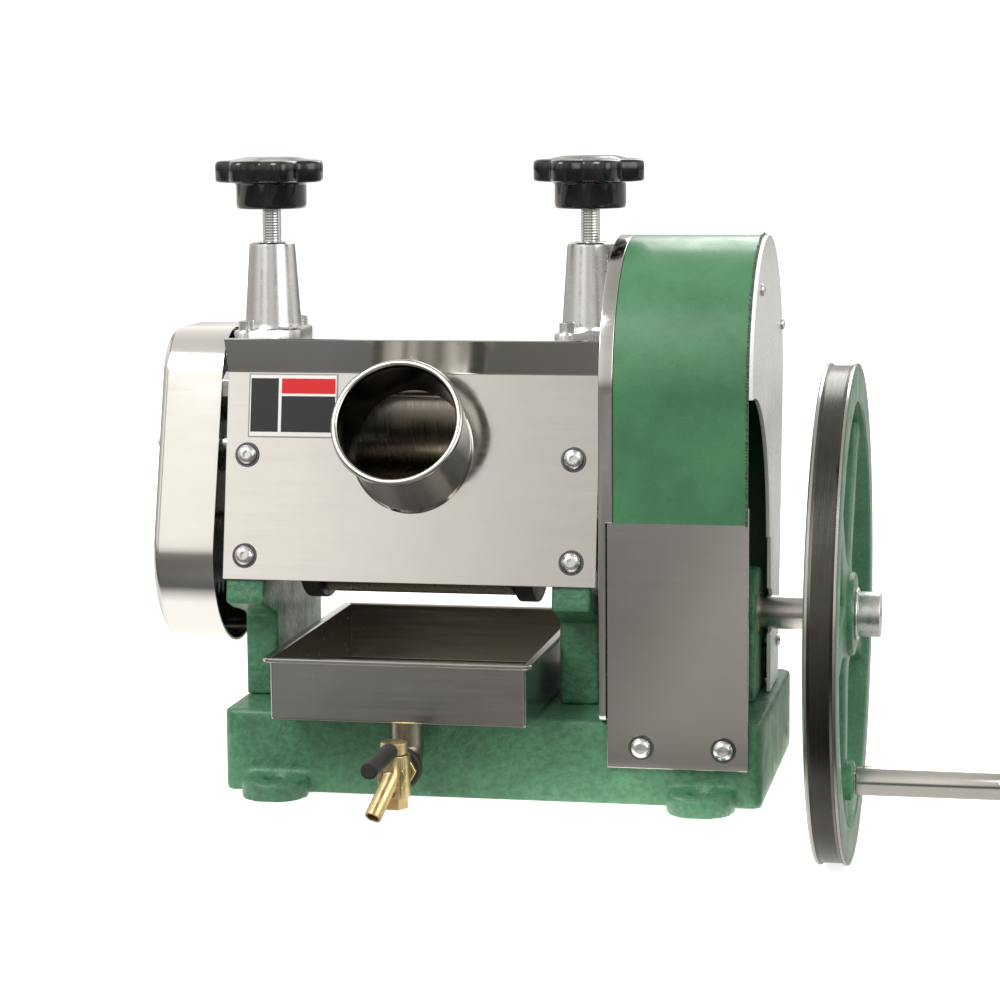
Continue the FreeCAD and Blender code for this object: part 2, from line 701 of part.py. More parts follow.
def side_frame(label, middle, thickness, start, wheel_bearing):
    """Cast side frame: a leaning front edge for the feed plate, a leg, and a slot for the top bearing."""
    leg_low, ledge, top = cell.base_height, cell.frame_ledge, cell.frame_top
    corners = [
        (plate_back(ledge), ledge),
        (cell.leg_front_y, ledge - 12),
        (cell.leg_front_y, leg_low),
        (cell.leg_rear_y, leg_low),
        (cell.leg_rear_y, ledge),
        (rear_y + 31.5, rear_z - 43),
        (rear_y + 31.5, rear_z + 21.5),
        (top_y + 52.7, top),
        (plate_back(top), top),
    ]
    web = outline(corners, thickness, start)
    pad_low = top - cell.pad_height
    pad_at = (middle - cell.pad_half_x, top_y - cell.pad_half_y, pad_low)
    top_pad = box(cell.pad_half_x * 2, cell.pad_half_y * 2, cell.pad_height, pad_at)
    slot_low = top_z - cell.block_height / 2 - cell.slide_gap
    slot_width = cell.block_width + cell.slide_gap * 2
    far = cell.pad_half_x * 2 + 2
    slot_at = (middle - cell.pad_half_x - 1, top_y - slot_width / 2, slot_low)
    slot = box(far, slot_width, top - slot_low + 1, slot_at)
    bores = [(front_y, front_z, bush_radius), (rear_y, rear_z, rear_bush_radius)]
    if wheel_bearing:
        bores.append((wheel_y, wheel_z, bush_radius))
    bores += [(along, height, cell.tie_bar_radius + cell.fit_gap) for along, height in tie_bar_spots]
    tools = [cylinder(radius, far, (middle - far / 2, along, height), ALONG_X) for along, height, radius in bores]
    for height in plate_screw_heights:
        hole = cylinder(cell.plate_screw_radius + cell.fit_gap, cell.plate_screw_length + 6, ORIGIN)
        tools.append(place(hole, *plate_screw_hole(middle, height)))
    for across, along in housing_screw_places(middle):
        at = (across, along, top - cell.pad_height)
        tools.append(cylinder(cell.housing_screw_radius + cell.fit_gap, cell.pad_height + 1, at))
    bolt_x = middle
    if not wheel_bearing:
        step_height = ledge - 6 - leg_low
        step_at = (start - 1, cell.leg_front_y - 50, leg_low)
        tools.append(box(cell.leg_step + 1, cell.leg_rear_y - cell.leg_front_y + 100, step_height, step_at))
        bolt_x = left_bolt_x
    for along in leg_bolt_y:
        tools.append(cylinder(cell.frame_bolt_radius + cell.fit_gap, 22, (bolt_x, along, leg_low - 1)))
    node(label, cut(joined(web, top_pad), slot, *tools))


def plate_screw_hole(across, height):
    """Place and turn of a hole that runs back from the feed plate's front face."""
    turn = Rotation(Vector(1, 0, 0), -90 - plate_lean)
    return (across, plate_front(height) - 4 / plate_run * plate_rise, height + 4 * plate_slope), turn


def frame_fasteners():
    bolts = []
    under_deck = cell.base_height - cell.base_deck
    for across, spots in ((left_bolt_x, leg_bolt_y), (right_x, leg_bolt_y), (bracket_bolt_x, bracket_bolt_y)):
        for along in spots:
            at = (across, along, under_deck)
            bolts.append(hex_bolt(cell.frame_bolt_radius, cell.base_deck + 9, at, UPSIDE_DOWN))
    node("frame_bolts", group(*bolts))
    past = cell.tie_nut_height + 0.5
    bar_length = right_out - left_out + past * 2
    bars = [
        cylinder(cell.tie_bar_radius, bar_length, (left_out - past, along, height), ALONG_X)
        for along, height in tie_bar_spots
    ]
    node("tie_bars", group(*bars))
    nuts = [
        hex_nut(cell.tie_nut_radius, cell.tie_bar_radius, cell.tie_nut_height, (across, along, height), ALONG_X)
        for along, height in tie_bar_spots
        for across in (left_out - cell.tie_nut_height, right_out)
    ]
    node("tie_bar_nuts", group(*nuts))


TUBE_TURN = Rotation(Vector(1, 0, 0), -90 - cell.tube_tilt.value)


def feed_plate():
    """Leaning sheet with a lip bent forward along its top, and the hole for the feed tube."""
    lip_rise = cell.plate_lip_z - cell.plate_bend_z
    lip_run = hypotenuse(cell.plate_bend_y - cell.plate_lip_y, lip_rise)
    lip_through = cell.plate_thickness * lip_run / lip_rise
    corners = [
        (cell.plate_foot_y, cell.plate_foot_z),
        (cell.plate_foot_y + plate_through, cell.plate_foot_z),
        (cell.plate_bend_y + plate_through, cell.plate_bend_z),
        (cell.plate_lip_y + lip_through, cell.plate_lip_z),
        (cell.plate_lip_y, cell.plate_lip_z),
        (cell.plate_bend_y, cell.plate_bend_z),
    ]
    start = left_out - cell.plate_left_over
    length = right_out + cell.plate_right_over - start
    sheet_metal = outline(corners, length, start)
    mouth = (tube_x, cell.tube_mouth_y, cell.tube_mouth_z)
    tools = [cylinder(cell.tube_radius, 120, mouth, TUBE_TURN)]
    for across in (left_x, right_x):
        for height in plate_screw_heights:
            hole = cylinder(cell.plate_screw_radius + cell.fit_gap, 12, ORIGIN)
            tools.append(place(hole, *plate_screw_hole(across, height)))
    node("feed_plate", cut(sheet_metal, *tools))


def feed_tube():
    """Tube with a rolled bead at its mouth, cut off parallel to the feed plate behind it."""
    mouth = (tube_x, cell.tube_mouth_y, cell.tube_mouth_z)
    wall = joined(
        cylinder(cell.tube_radius, 120, mouth, TUBE_TURN),
        ring(cell.tube_radius + cell.bead_radius / 2, cell.bead_radius, mouth, TUBE_TURN),
    )
    tilt = cell.tube_tilt
    before = (tube_x, cell.tube_mouth_y - 10 * cosine(tilt), cell.tube_mouth_z + 10 * sine(tilt))
    bore = cylinder(cell.tube_radius - cell.tube_wall, 140, before, TUBE_TURN)
    low, high = cell.tube_mouth_z - 150, cell.tube_mouth_z + 60
    behind = [
        (plate_back(low) + cell.tube_tail, low),
        (plate_back(low) + cell.tube_tail + 200, low),
        (plate_back(high) + cell.tube_tail + 200, high),
        (plate_back(high) + cell.tube_tail, high),
    ]
    trim = outline(behind, cell.tube_radius * 2 + 10, tube_x - cell.tube_radius - 5)
    node("feed_tube", cut(wall, bore, trim))


def label_plate():
    low, high = cell.label_low_z, cell.label_low_z + cell.label_height
    corners = [
        (plate_front(low) - cell.label_thickness, low),
        (plate_front(low), low),
        (plate_front(high), high),
        (plate_front(high) - cell.label_thickness, high),
    ]
    node("label_plate", outline(corners, cell.label_width, label_x))


def button_screws():
    """Screws of the feed plate and of the guard's front panel."""
    radius, length = cell.plate_screw_radius, cell.plate_screw_length
    screws = [
        button_screw(radius, length, (across, plate_front(height), height), PLATE_NORMAL)
        for across in (left_x, right_x)
        for height in plate_screw_heights
    ]
    panel_face = guard_front + cell.guard_sheet + 0.2
    for across in panel_screw_x:
        at = (across, panel_face, cell.panel_screw_z)
        screws.append(button_screw(radius, cell.base_wall + 3, at, FACING_FRONT))
    node("button_screws", group(*screws))


def left_gear_cover():
    """Deep stainless cap over the end gears, open towards the side frame."""
    low, corner = cell.cover_low_radius, cell.cover_corner
    rear = tip_radius(REAR_TEETH) + 8.5

    def circles(inset):
        return [
            (front_y + 4, front_z - 14.6, low - inset),
            (rear_y, rear_z, rear - inset),
            (top_y + 26.7, top_z + 16, corner - inset),
            (top_y - 11.9, top_z + 16, corner - inset),
        ]

    outside = belt(circles(as_size(0)), cell.left_cover_depth, cover_face)
    inside = belt(circles(cell.cover_sheet), cell.left_cover_depth, cover_face + cell.cover_sheet)
    holes = [
        cylinder(cell.cover_screw_radius + cell.fit_gap, 10, (cover_face - 5, along, height), ALONG_X)
        for along, height in left_post_spots
    ]
    node("left_gear_cover", cut(outside, inside, *holes))


def spacers_and_screws():
    """Posts that carry the two covers, and the small screws in their ends."""
    radius, hole = cell.spacer_radius, cell.cover_screw_radius + cell.fit_gap
    face = cover_face + cell.cover_sheet
    posts = [tube(radius, hole, left_out - face, (face, *spot), ALONG_X) for spot in left_post_spots]
    cheek_face = guard_left + inner_cheek_plate
    length = guard_right - cell.outer_cheek - cheek_face
    posts += [tube(radius, hole, length, (cheek_face, *spot), ALONG_X) for spot in guard_post_spots]
    posts += [cylinder(radius, cell.guard_gap, (right_out, *spot), ALONG_X) for spot in guard_foot_spots]
    node("cover_spacers", group(*posts))
    outward_left = Rotation(Vector(0, 1, 0), -90)
    screw_radius, screw_length = cell.cover_screw_radius, 12
    screws = [
        button_screw(screw_radius, screw_length, (cover_face, *spot), outward_left)
        for spot in left_post_spots
    ]
    screws += [
        button_screw(screw_radius, screw_length, (guard_right, *spot), ALONG_X)
        for spot in guard_post_spots
    ]
    node("cover_screws", group(*screws))


def bearing_parts():
    """Bronze bushes, and the two blocks that carry the top roller and slide in the frames' slots."""
    bushes = []
    turning = cell.shaft_radius + cell.running_gap
    rear_turning = cell.rear_shaft_radius + cell.running_gap
    for start in (left_out, right_in):
        bushes.append(tube(bush_radius, turning, cell.frame_thickness, (start, front_y, front_z), ALONG_X))
        bushes.append(tube(bush_radius, turning, cell.frame_thickness, (start, top_y, top_z), ALONG_X))
        bushes.append(tube(rear_bush_radius, rear_turning, cell.frame_thickness, (start, rear_y, rear_z), ALONG_X))
    bushes.append(tube(bush_radius, turning, cell.frame_thickness, (right_in, wheel_y, wheel_z), ALONG_X))
    bushes.append(tube(bush_radius, turning, cell.outboard_thickness, (outboard_x, wheel_y, wheel_z), ALONG_X))
    node("bearing_bushes", group(*bushes))
    blocks = []
    for start in (left_out, right_in):
        at = (start, top_y - cell.block_width / 2, top_z - cell.block_height / 2)
        block = box(cell.frame_thickness, cell.block_width, cell.block_height, at)
        bore = cylinder(bush_radius, cell.frame_thickness + 2, (start - 1, top_y, top_z), ALONG_X)
        blocks.append(cut(block, bore))
    node("top_bearing_blocks", group(*blocks))


def spring_housings():
    """Tapered sleeves on oval flanges; the pressure screws run in their tops."""
    housings, screws = [], []
    foot_top = cell.frame_top + cell.housing_foot
    for middle in (left_x, right_x):
        front_ear, rear_ear = housing_screw_places(middle)
        waist = (middle, top_y, cell.housing_low_radius + 1)
        ears = [(*front_ear, cell.ear_radius), waist, (*rear_ear, cell.ear_radius), waist]
        foot = belt(ears, cell.housing_foot, cell.frame_top, "XY_Plane", "z")
        sleeve_height = cell.housing_height - cell.housing_foot
        sleeve = cone(cell.housing_low_radius, cell.housing_top_radius, sleeve_height, (middle, top_y, foot_top))
        bore_height = cell.housing_height - cell.housing_cap + 1
        tools = [
            cylinder(cell.spring_bore, bore_height, (middle, top_y, cell.frame_top - 1)),
            cylinder(cell.screw_radius + cell.screw_gap, cell.housing_height + 2,
                     (middle, top_y, cell.frame_top - 1)),
        ]
        for place in (front_ear, rear_ear):
            hole_radius = cell.housing_screw_radius + cell.fit_gap
            tools.append(cylinder(hole_radius, cell.housing_foot + 2, (*place, cell.frame_top - 1)))
            length = cell.housing_foot + cell.pad_height - 4
            screws.append(cap_screw(cell.housing_screw_radius, length, (*place, foot_top)))
        housings.append(cut(joined(foot, sleeve), *tools))
    node("spring_housings", group(*housings))
    node("housing_screws", group(*screws))


def pressure_screw(side, middle):
    """Star knob, screw, spring seat and spring over one top bearing block."""
    seat_top = cell.seat_z + cell.seat_thickness
    star_z = cell.knob_z + cell.knob_hub_height
    node(f"{side}_spring_seat", cylinder(cell.spring_bore - 1, cell.seat_thickness, (middle, top_y, cell.seat_z)))
    rod_top = star_z + cell.star_thickness / 2
    rod = cylinder(cell.screw_radius, rod_top - seat_top, (middle, top_y, seat_top))
    node(f"{side}_pressure_screw", rod)
    lobes = []
    for lobe in range(7):
        angle = math.radians(lobe * 360 / 7 + 90)
        reach = cell.star_radius - cell.star_lobe
        at = (middle + reach * math.cos(angle), top_y + reach * math.sin(angle), star_z)
        lobes.append(cylinder(cell.star_lobe, cell.star_thickness, at))
    knob = joined(
        cylinder(cell.star_radius - cell.star_lobe, cell.star_thickness, (middle, top_y, star_z)),
        cylinder(cell.knob_hub_radius, cell.knob_hub_height, (middle, top_y, cell.knob_z)),
        cone(cell.dome_radius, cell.dome_radius - 6, cell.knob_dome, (middle, top_y, star_z + cell.star_thickness)),
        *lobes,
    )
    bore = cylinder(cell.screw_radius, rod_top - cell.knob_z + 1, (middle, top_y, cell.knob_z - 1))
    node(f"{side}_star_knob", cut(knob, bore))
    block_top = top_z + cell.block_height / 2
    coil_low = block_top + cell.spring_wire
    coil_height = (cell.seat_z - block_top - cell.spring_wire * 2).value
    turns = round(cell.spring_turns.value)
    path = Part.Wire(Part.makeHelix(coil_height / turns, coil_height, cell.spring_radius.value).Edges)
    start = Vector(cell.spring_radius.value, 0, 0)
    section = Part.Wire(Part.makeCircle(cell.spring_wire.value, start, Vector(0, 1, 0)))
    coil = path.makePipeShell([section], True, True)
    node(f"{side}_pressure_spring", solid(coil, (middle, top_y, coil_low)))


def guard_circles(inset):
    """Outline of the gear guard: flat front, round top and a narrow foot on the deck."""
    deck = cell.base_height + 0.5
    return [
        (guard_front + 5, deck + 5, 5 - as_size(inset)),
        (wheel_y + 44, deck + 8, 8 - as_size(inset)),
        (guard_y, cell.guard_z, cell.guard_radius - inset),
    ]


def gear_guard():
    """Dished inner cheek, green band, stainless front panel and flat outer cheek."""
    sheet_size = cell.guard_sheet
    dish = belt(guard_circles(0), cell.cheek_rim, guard_left)
    dish_hollow = belt(guard_circles(sheet_size), cell.cheek_rim, guard_left + inner_cheek_plate)
    rim_start = guard_left + cell.cheek_rim / 2
    rim_cut_at = (rim_start, guard_front - 1, cell.base_height)
    rim_cut = box(cell.cheek_rim, sheet_size + 5, cell.panel_top - cell.base_height, rim_cut_at)
    clear = cell.shaft_radius + 2
    shaft_holes = [
        cylinder(clear, cell.cheek_rim, (guard_left - 2, along, height), ALONG_X)
        for along, height in ((top_y, top_z), (front_y, front_z), (wheel_y, wheel_z))
    ]
    small = cell.cover_screw_radius + cell.fit_gap
    post_holes = [cylinder(small, 10, (guard_left - 2, *spot), ALONG_X) for spot in guard_post_spots]
    node("guard_inner_cheek", cut(dish, dish_hollow, rim_cut, *shaft_holes, *post_holes))

    band_left = guard_left + cell.cheek_rim + 0.3
    band_length = guard_right - cell.outer_cheek - 0.3 - band_left
    band = belt(guard_circles(0), band_length, band_left)
    band_hollow = belt(guard_circles(sheet_size), band_length + 2, band_left - 1)
    front_cut_at = (band_left - 1, guard_front - 5, 0)
    front_cut = box(band_length + 2, cell.guard_radius + 5, cell.panel_top, front_cut_at)
    floor_cut_at = (band_left - 1, guard_y - 1, 0)
    floor_cut = box(band_length + 2, wheel_y + 42 - guard_y, cell.base_height + 4, floor_cut_at)
    node("guard_band", cut(band, band_hollow, front_cut, floor_cut))

    panel_left = rim_start + 0.3
    panel_length = guard_right - cell.outer_cheek - panel_left
    panel_front = guard_front + sheet_size + 0.2
    panel_height = cell.panel_top + 10 - cell.panel_bottom
    panel_depth = -cell.base_width / 2 - panel_front
    skin = cell.cover_sheet
    panel = box(panel_length, panel_depth, panel_height, (panel_left, panel_front, cell.panel_bottom))
    hollow_at = (panel_left + skin, panel_front + skin, cell.panel_bottom + skin)
    hollow = box(panel_length - skin * 2, panel_depth, panel_height - skin * 2, hollow_at)
    holes = [
        cylinder(cell.plate_screw_radius + cell.fit_gap, 6, (across, panel_front - 1, cell.panel_screw_z), ALONG_Y)
        for across in panel_screw_x
    ]
    node("guard_front_panel", cut(panel, hollow, *holes))

    cheek_x = guard_right - cell.outer_cheek
    cheek = belt(guard_circles(0), cell.outer_cheek, cheek_x)
    sweep_at = (cheek_x - 1, guard_front + 5, wheel_z + 49)
    opening = cylinder(cell.guard_radius + 5.5, cell.outer_cheek + 2, sweep_at, ALONG_X)
    low_height = wheel_z + 49 - cell.base_height
    low_at = (cheek_x - 1, guard_front - 1, cell.base_height)
    low_opening = box(cell.outer_cheek + 2, wheel_y + 2 - guard_front, low_height, low_at)
    shaft_notch = cylinder(cell.shaft_radius + 4, cell.outer_cheek + 2, (cheek_x - 1, wheel_y, wheel_z), ALONG_X)
    cheek_holes = [cylinder(small, 8, (cheek_x - 2, *spot), ALONG_X) for spot in guard_post_spots]
    node("guard_outer_cheek", cut(cheek, opening, low_opening, shaft_notch, *cheek_holes))


def outboard_bearing_bracket():
    """Bracket that stands on the deck inside the guard and steadies the wheel shaft."""
    low, half, corner = cell.base_height, cell.bracket_half_width, as_size(6)
    sides = [
        (wheel_y - half, low + corner, corner),
        (wheel_y + half, low + corner, corner),
        (wheel_y, wheel_z, cell.outboard_boss_radius - 3),
    ]
    web = belt(sides, cell.outboard_thickness, outboard_x)
    boss_at = (outboard_x, wheel_y, wheel_z)
    boss = cylinder(cell.outboard_boss_radius, cell.outboard_thickness, boss_at, ALONG_X)
    foot_at = (outboard_x - cell.bracket_foot_reach, wheel_y - cell.bracket_foot_width / 2, low)
    foot_length = cell.outboard_thickness + cell.bracket_foot_reach
    foot = box(foot_length, cell.bracket_foot_width, cell.bracket_foot_height, foot_at)
    bore_at = (outboard_x - 1, wheel_y, wheel_z)
    tools = [cylinder(bush_radius, cell.outboard_thickness + 2, bore_at, ALONG_X)]
    bolt_hole = cell.frame_bolt_radius + cell.fit_gap
    hole_depth = cell.bracket_foot_height + 2
    tools += [cylinder(bolt_hole, hole_depth, (bracket_bolt_x, along, low - 1)) for along in bracket_bolt_y]
    node("outboard_bearing_bracket", cut(joined(web, boss, foot), *tools))


def guides():
    """Turner bar between the lower rollers, scraper on the top roller, and the chute for spent cane."""
    inner, outer = cell.turner_inner, cell.turner_inner + cell.turner_thickness
    start_angle, sweep = math.radians(278), 22
    toward = Vector(0, math.cos(start_angle), math.sin(start_angle))
    across = Vector(0, -math.sin(start_angle), math.cos(start_angle))
    sector_turn = Rotation(toward, across, Vector(1, 0, 0), "ZXY")
    sector = cylinder(outer, cell.roller_length, (barrel_x, top_y, top_z), sector_turn)
    sector.Angle = sweep
    face = cylinder(inner, cell.roller_length + 2, (barrel_x - 1, top_y, top_z), ALONG_X)
    web_at = (left_in, top_y + 19.7, top_z - inner - 14)
    web = box(right_in - left_in, 6, 16, web_at)
    node("trash_turner", joined(cut(sector, face), web))
    blade = [
        (top_y + 37, top_z + 17.5),
        (top_y + 58.7, top_z + 24),
        (top_y + 57.8, top_z + 27),
        (top_y + 36.6, top_z + 20),
    ]
    node("roller_scraper", outline(blade, right_in - left_in, left_in))
    skin = cell.cover_sheet
    floor = [
        (rear_y + 14.7, rear_z + 25.5),
        (rear_y + 69, rear_z - 14),
        (rear_y + 69, rear_z - 14 + skin * 1.25),
        (rear_y + 14.7, rear_z + 25.5 + skin * 1.25),
    ]
    side = [floor[0], floor[1], (rear_y + 69, rear_z + 2), (rear_y + 14.7, rear_z + 45)]
    start, length = left_in, right_in - left_in
    left_side = outline(side, skin, start)
    right_side = outline(side, skin, start + length - skin)
    node("bagasse_chute", joined(outline(floor, length, start), left_side, right_side))


def rollers():
    """Each roller is turned in one piece with its journals."""
    turning_end = drive_end + 4
    node("top_roller", joined(
        cylinder(barrel_radius, cell.roller_length, (barrel_x, top_y, top_z), ALONG_X),
        cylinder(cell.shaft_radius, main_gear_x + cell.drive_gear_width + 5 - shaft_left,
                 (shaft_left, top_y, top_z), ALONG_X),
    ))
    node("front_roller", joined(
        cylinder(barrel_radius, cell.roller_length, (barrel_x, front_y, front_z), ALONG_X),
        cylinder(cell.shaft_radius, turning_end - shaft_left, (shaft_left, front_y, front_z), ALONG_X),
    ))
    node("rear_roller", joined(
        cylinder(rear_barrel_radius, cell.roller_length, (barrel_x, rear_y, rear_z), ALONG_X),
        cylinder(cell.rear_shaft_radius, right_out + 3 - shaft_left, (shaft_left, rear_y, rear_z), ALONG_X),
    ))
    rim = barrel_radius + cell.collar_lip
    collars = [
        tube(rim, cell.shaft_radius, cell.collar_width, (across, front_y, front_z), ALONG_X)
        for across in (barrel_x - cell.collar_width - 1.5, barrel_x + cell.roller_length + 1.5)
    ]
    node("front_roller_collars", group(*collars))


def gears():
    """Gear train: pinion to compound gear, to the top roller, and from it to the two lower rollers."""
    width, drive_width = cell.end_gear_width, cell.drive_gear_width

    def end_gear(label, teeth, phase, axis_y, axis_z, bore):
        node(label, solid(gear_form(teeth, width, phase, bore), (end_gear_x, axis_y, axis_z)))

    end_gear("top_end_gear", END_TEETH, 0, top_y, top_z, cell.shaft_radius)
    end_gear("front_end_gear", END_TEETH, front_end_phase, front_y, front_z, cell.shaft_radius)
    end_gear("rear_end_gear", REAR_TEETH, rear_end_phase, rear_y, rear_z, cell.rear_shaft_radius)

    disc = solid(gear_form(MAIN_TEETH, drive_width, main_phase, cell.shaft_radius), (main_gear_x, top_y, top_z))
    dish_outer, dish_inner = pitch_radius(MAIN_TEETH) - 12, cell.shaft_radius + 9
    dish_at = (main_gear_x + drive_width - 6, top_y, top_z)
    node("main_gear", cut(disc, tube(dish_outer, dish_inner, 7, dish_at, ALONG_X)))

    running = cell.shaft_radius + cell.running_gap
    small_row = solid(gear_form(SMALL_ROW_TEETH, drive_width, 0, running), (main_gear_x, front_y, front_z))
    large_form = gear_form(LARGE_ROW_TEETH, drive_width, large_row_phase, running)
    large_row = solid(large_form, (drive_row_x, front_y, front_z))
    neck_at = (main_gear_x + drive_width, front_y, front_z)
    neck = tube(pitch_radius(SMALL_ROW_TEETH) - 4.5, running, cell.drive_row_gap, neck_at, ALONG_X)
    node("compound_gear", joined(small_row, neck, large_row))

    pinion = gear_form(PINION_TEETH, drive_width, 0, cell.shaft_radius)
    node("drive_pinion", solid(pinion, (drive_row_x, wheel_y, wheel_z)))


def handwheel():
    """Five tapered spokes, a grooved rim, a keyed hub and a boss for the crank handle."""
    centre = (wheel_x, wheel_y, wheel_z)
    inner = cell.wheel_radius - cell.rim_depth
    rim = tube(cell.wheel_radius, inner, cell.rim_width, centre, ALONG_X)
    half_width, depth = cell.groove_width / 2, cell.groove_depth
    groove_radius = (half_width * half_width + depth * depth) / (depth * 2)
    groove_at = (wheel_x + cell.rim_width / 2, wheel_y, wheel_z)
    groove = ring(cell.wheel_radius + groove_radius - depth, groove_radius, groove_at, ALONG_X)
    hub = cylinder(cell.hub_radius, rim_face - hub_x, (hub_x, wheel_y, wheel_z), ALONG_X)
    spoke_x = wheel_x + cell.rim_width / 2 - cell.spoke_thickness / 2
    spokes = []
    for spoke in range(5):
        wedge = doc.addObject("Part::Wedge", "Spoke")
        sizes = (
            ("Xmin", 0), ("Xmax", cell.spoke_thickness), ("X2min", 1), ("X2max", cell.spoke_thickness - 1),
            ("Ymin", cell.hub_radius - 5), ("Ymax", inner + 2),
            ("Zmin", -cell.spoke_root / 2), ("Zmax", cell.spoke_root / 2),
            ("Z2min", -cell.spoke_tip / 2), ("Z2max", cell.spoke_tip / 2),
        )
        for size_name, size in sizes:
            bind(wedge, size_name, size)
        turn = Rotation(Vector(1, 0, 0), -90 + spoke * 72)
        spokes.append(place(wedge, (spoke_x, wheel_y, wheel_z), turn))
    handle_z = wheel_z - cell.crank_radius
    boss = cylinder(cell.boss_radius, cell.rim_width, (wheel_x, wheel_y, handle_z), ALONG_X)
    tools = [
        cylinder(cell.shaft_radius, 60, (hub_x - 1, wheel_y, wheel_z), ALONG_X),
        cylinder(cell.spindle_radius, 60, (wheel_x - 5, wheel_y, handle_z), ALONG_X),
        key_block(),
        groove,
    ]
    node("handwheel", cut(joined(rim, hub, boss, *spokes), *tools))


def key_block():
    half = cell.key_size / 2
    length = rim_face - hub_x - 4
    return box(length, cell.key_size, cell.key_size, (hub_x + 2, wheel_y - half, wheel_z + cell.shaft_radius - half))


def wheel_fittings():
    """Shaft, key, hub screw and washer, and the handle turning on its spindle."""
    start = right_in - 1
    shaft = cylinder(cell.shaft_radius, rim_face - start, (start, wheel_y, wheel_z), ALONG_X)
    screw_hole = cylinder(5, 27, (rim_face - 26, wheel_y, wheel_z), ALONG_X)
    node("wheel_shaft", cut(shaft, key_block(), screw_hole))
    node("wheel_key", key_block())
    washer = 2
    node("hub_washer", tube(cell.cap_radius + 2.5, 5, washer, (rim_face, wheel_y, wheel_z), ALONG_X))
    head_x = rim_face + washer
    head = cylinder(cell.cap_radius, cell.cap_height, (head_x, wheel_y, wheel_z), ALONG_X)
    shank = cylinder(5, 25, (head_x - 25, wheel_y, wheel_z), ALONG_X)
    socket = hexagon(7, 8, (head_x + cell.cap_height - 8, wheel_y, wheel_z), ALONG_X)
    node("hub_screw", cut(joined(head, shank), socket))

    handle_z = wheel_z - cell.crank_radius
    nut_height = 7
    grip_x = rim_face + 1
    grip_end = grip_x + cell.handle_length
    nut_x = wheel_x - nut_height
    node("spindle_nut", hex_nut(9.2, cell.spindle_radius, nut_height, (nut_x, wheel_y, handle_z), ALONG_X))
    recess = 9
    head_radius = cell.handle_radius - cell.handle_wall - cell.fit_gap
    rod = cylinder(cell.spindle_radius, grip_end - recess - nut_x + 4, (nut_x - 3, wheel_y, handle_z), ALONG_X)
    rod_head = cylinder(head_radius, 5, (grip_end - recess + cell.fit_gap, wheel_y, handle_z), ALONG_X)
    node("handle_spindle", joined(rod, rod_head))
    grip = cylinder(cell.handle_radius, cell.handle_length, (grip_x, wheel_y, handle_z), ALONG_X)
    running = cylinder(cell.spindle_radius + cell.running_gap, 200, (grip_x - 1, wheel_y, handle_z), ALONG_X)
    recess_at = (grip_end - recess, wheel_y, handle_z)
    recess_bore = cylinder(cell.handle_radius - cell.handle_wall, recess + 1, recess_at, ALONG_X)
    node("handle_grip", cut(grip, running, recess_bore))


def juice_tray():
    """Open tray with a folded rim; it slides out to the front on the base's rails."""
    skin, rim = cell.tray_sheet, cell.tray_rim
    at = (tray_left, tray_front, cell.tray_low_z)
    walls = box(tray_length, tray_depth, cell.tray_height, at)
    rim_at = (at[0] - rim, at[1] - rim, cell.tray_low_z + cell.tray_height - cell.rim_sheet)
    fold = box(tray_length + rim * 2, tray_depth + rim * 2, cell.rim_sheet, rim_at)
    hollow_at = (at[0] + skin, at[1] + skin, at[2] + skin)
    hollow = box(tray_length - skin * 2, tray_depth - skin * 2, cell.tray_height, hollow_at)
    drain = cylinder(cell.pipe_radius - cell.pipe_wall, 10, (pipe_x, pipe_y, cell.tray_low_z - 5))
    node("juice_tray", cut(joined(walls, fold), hollow, drain))


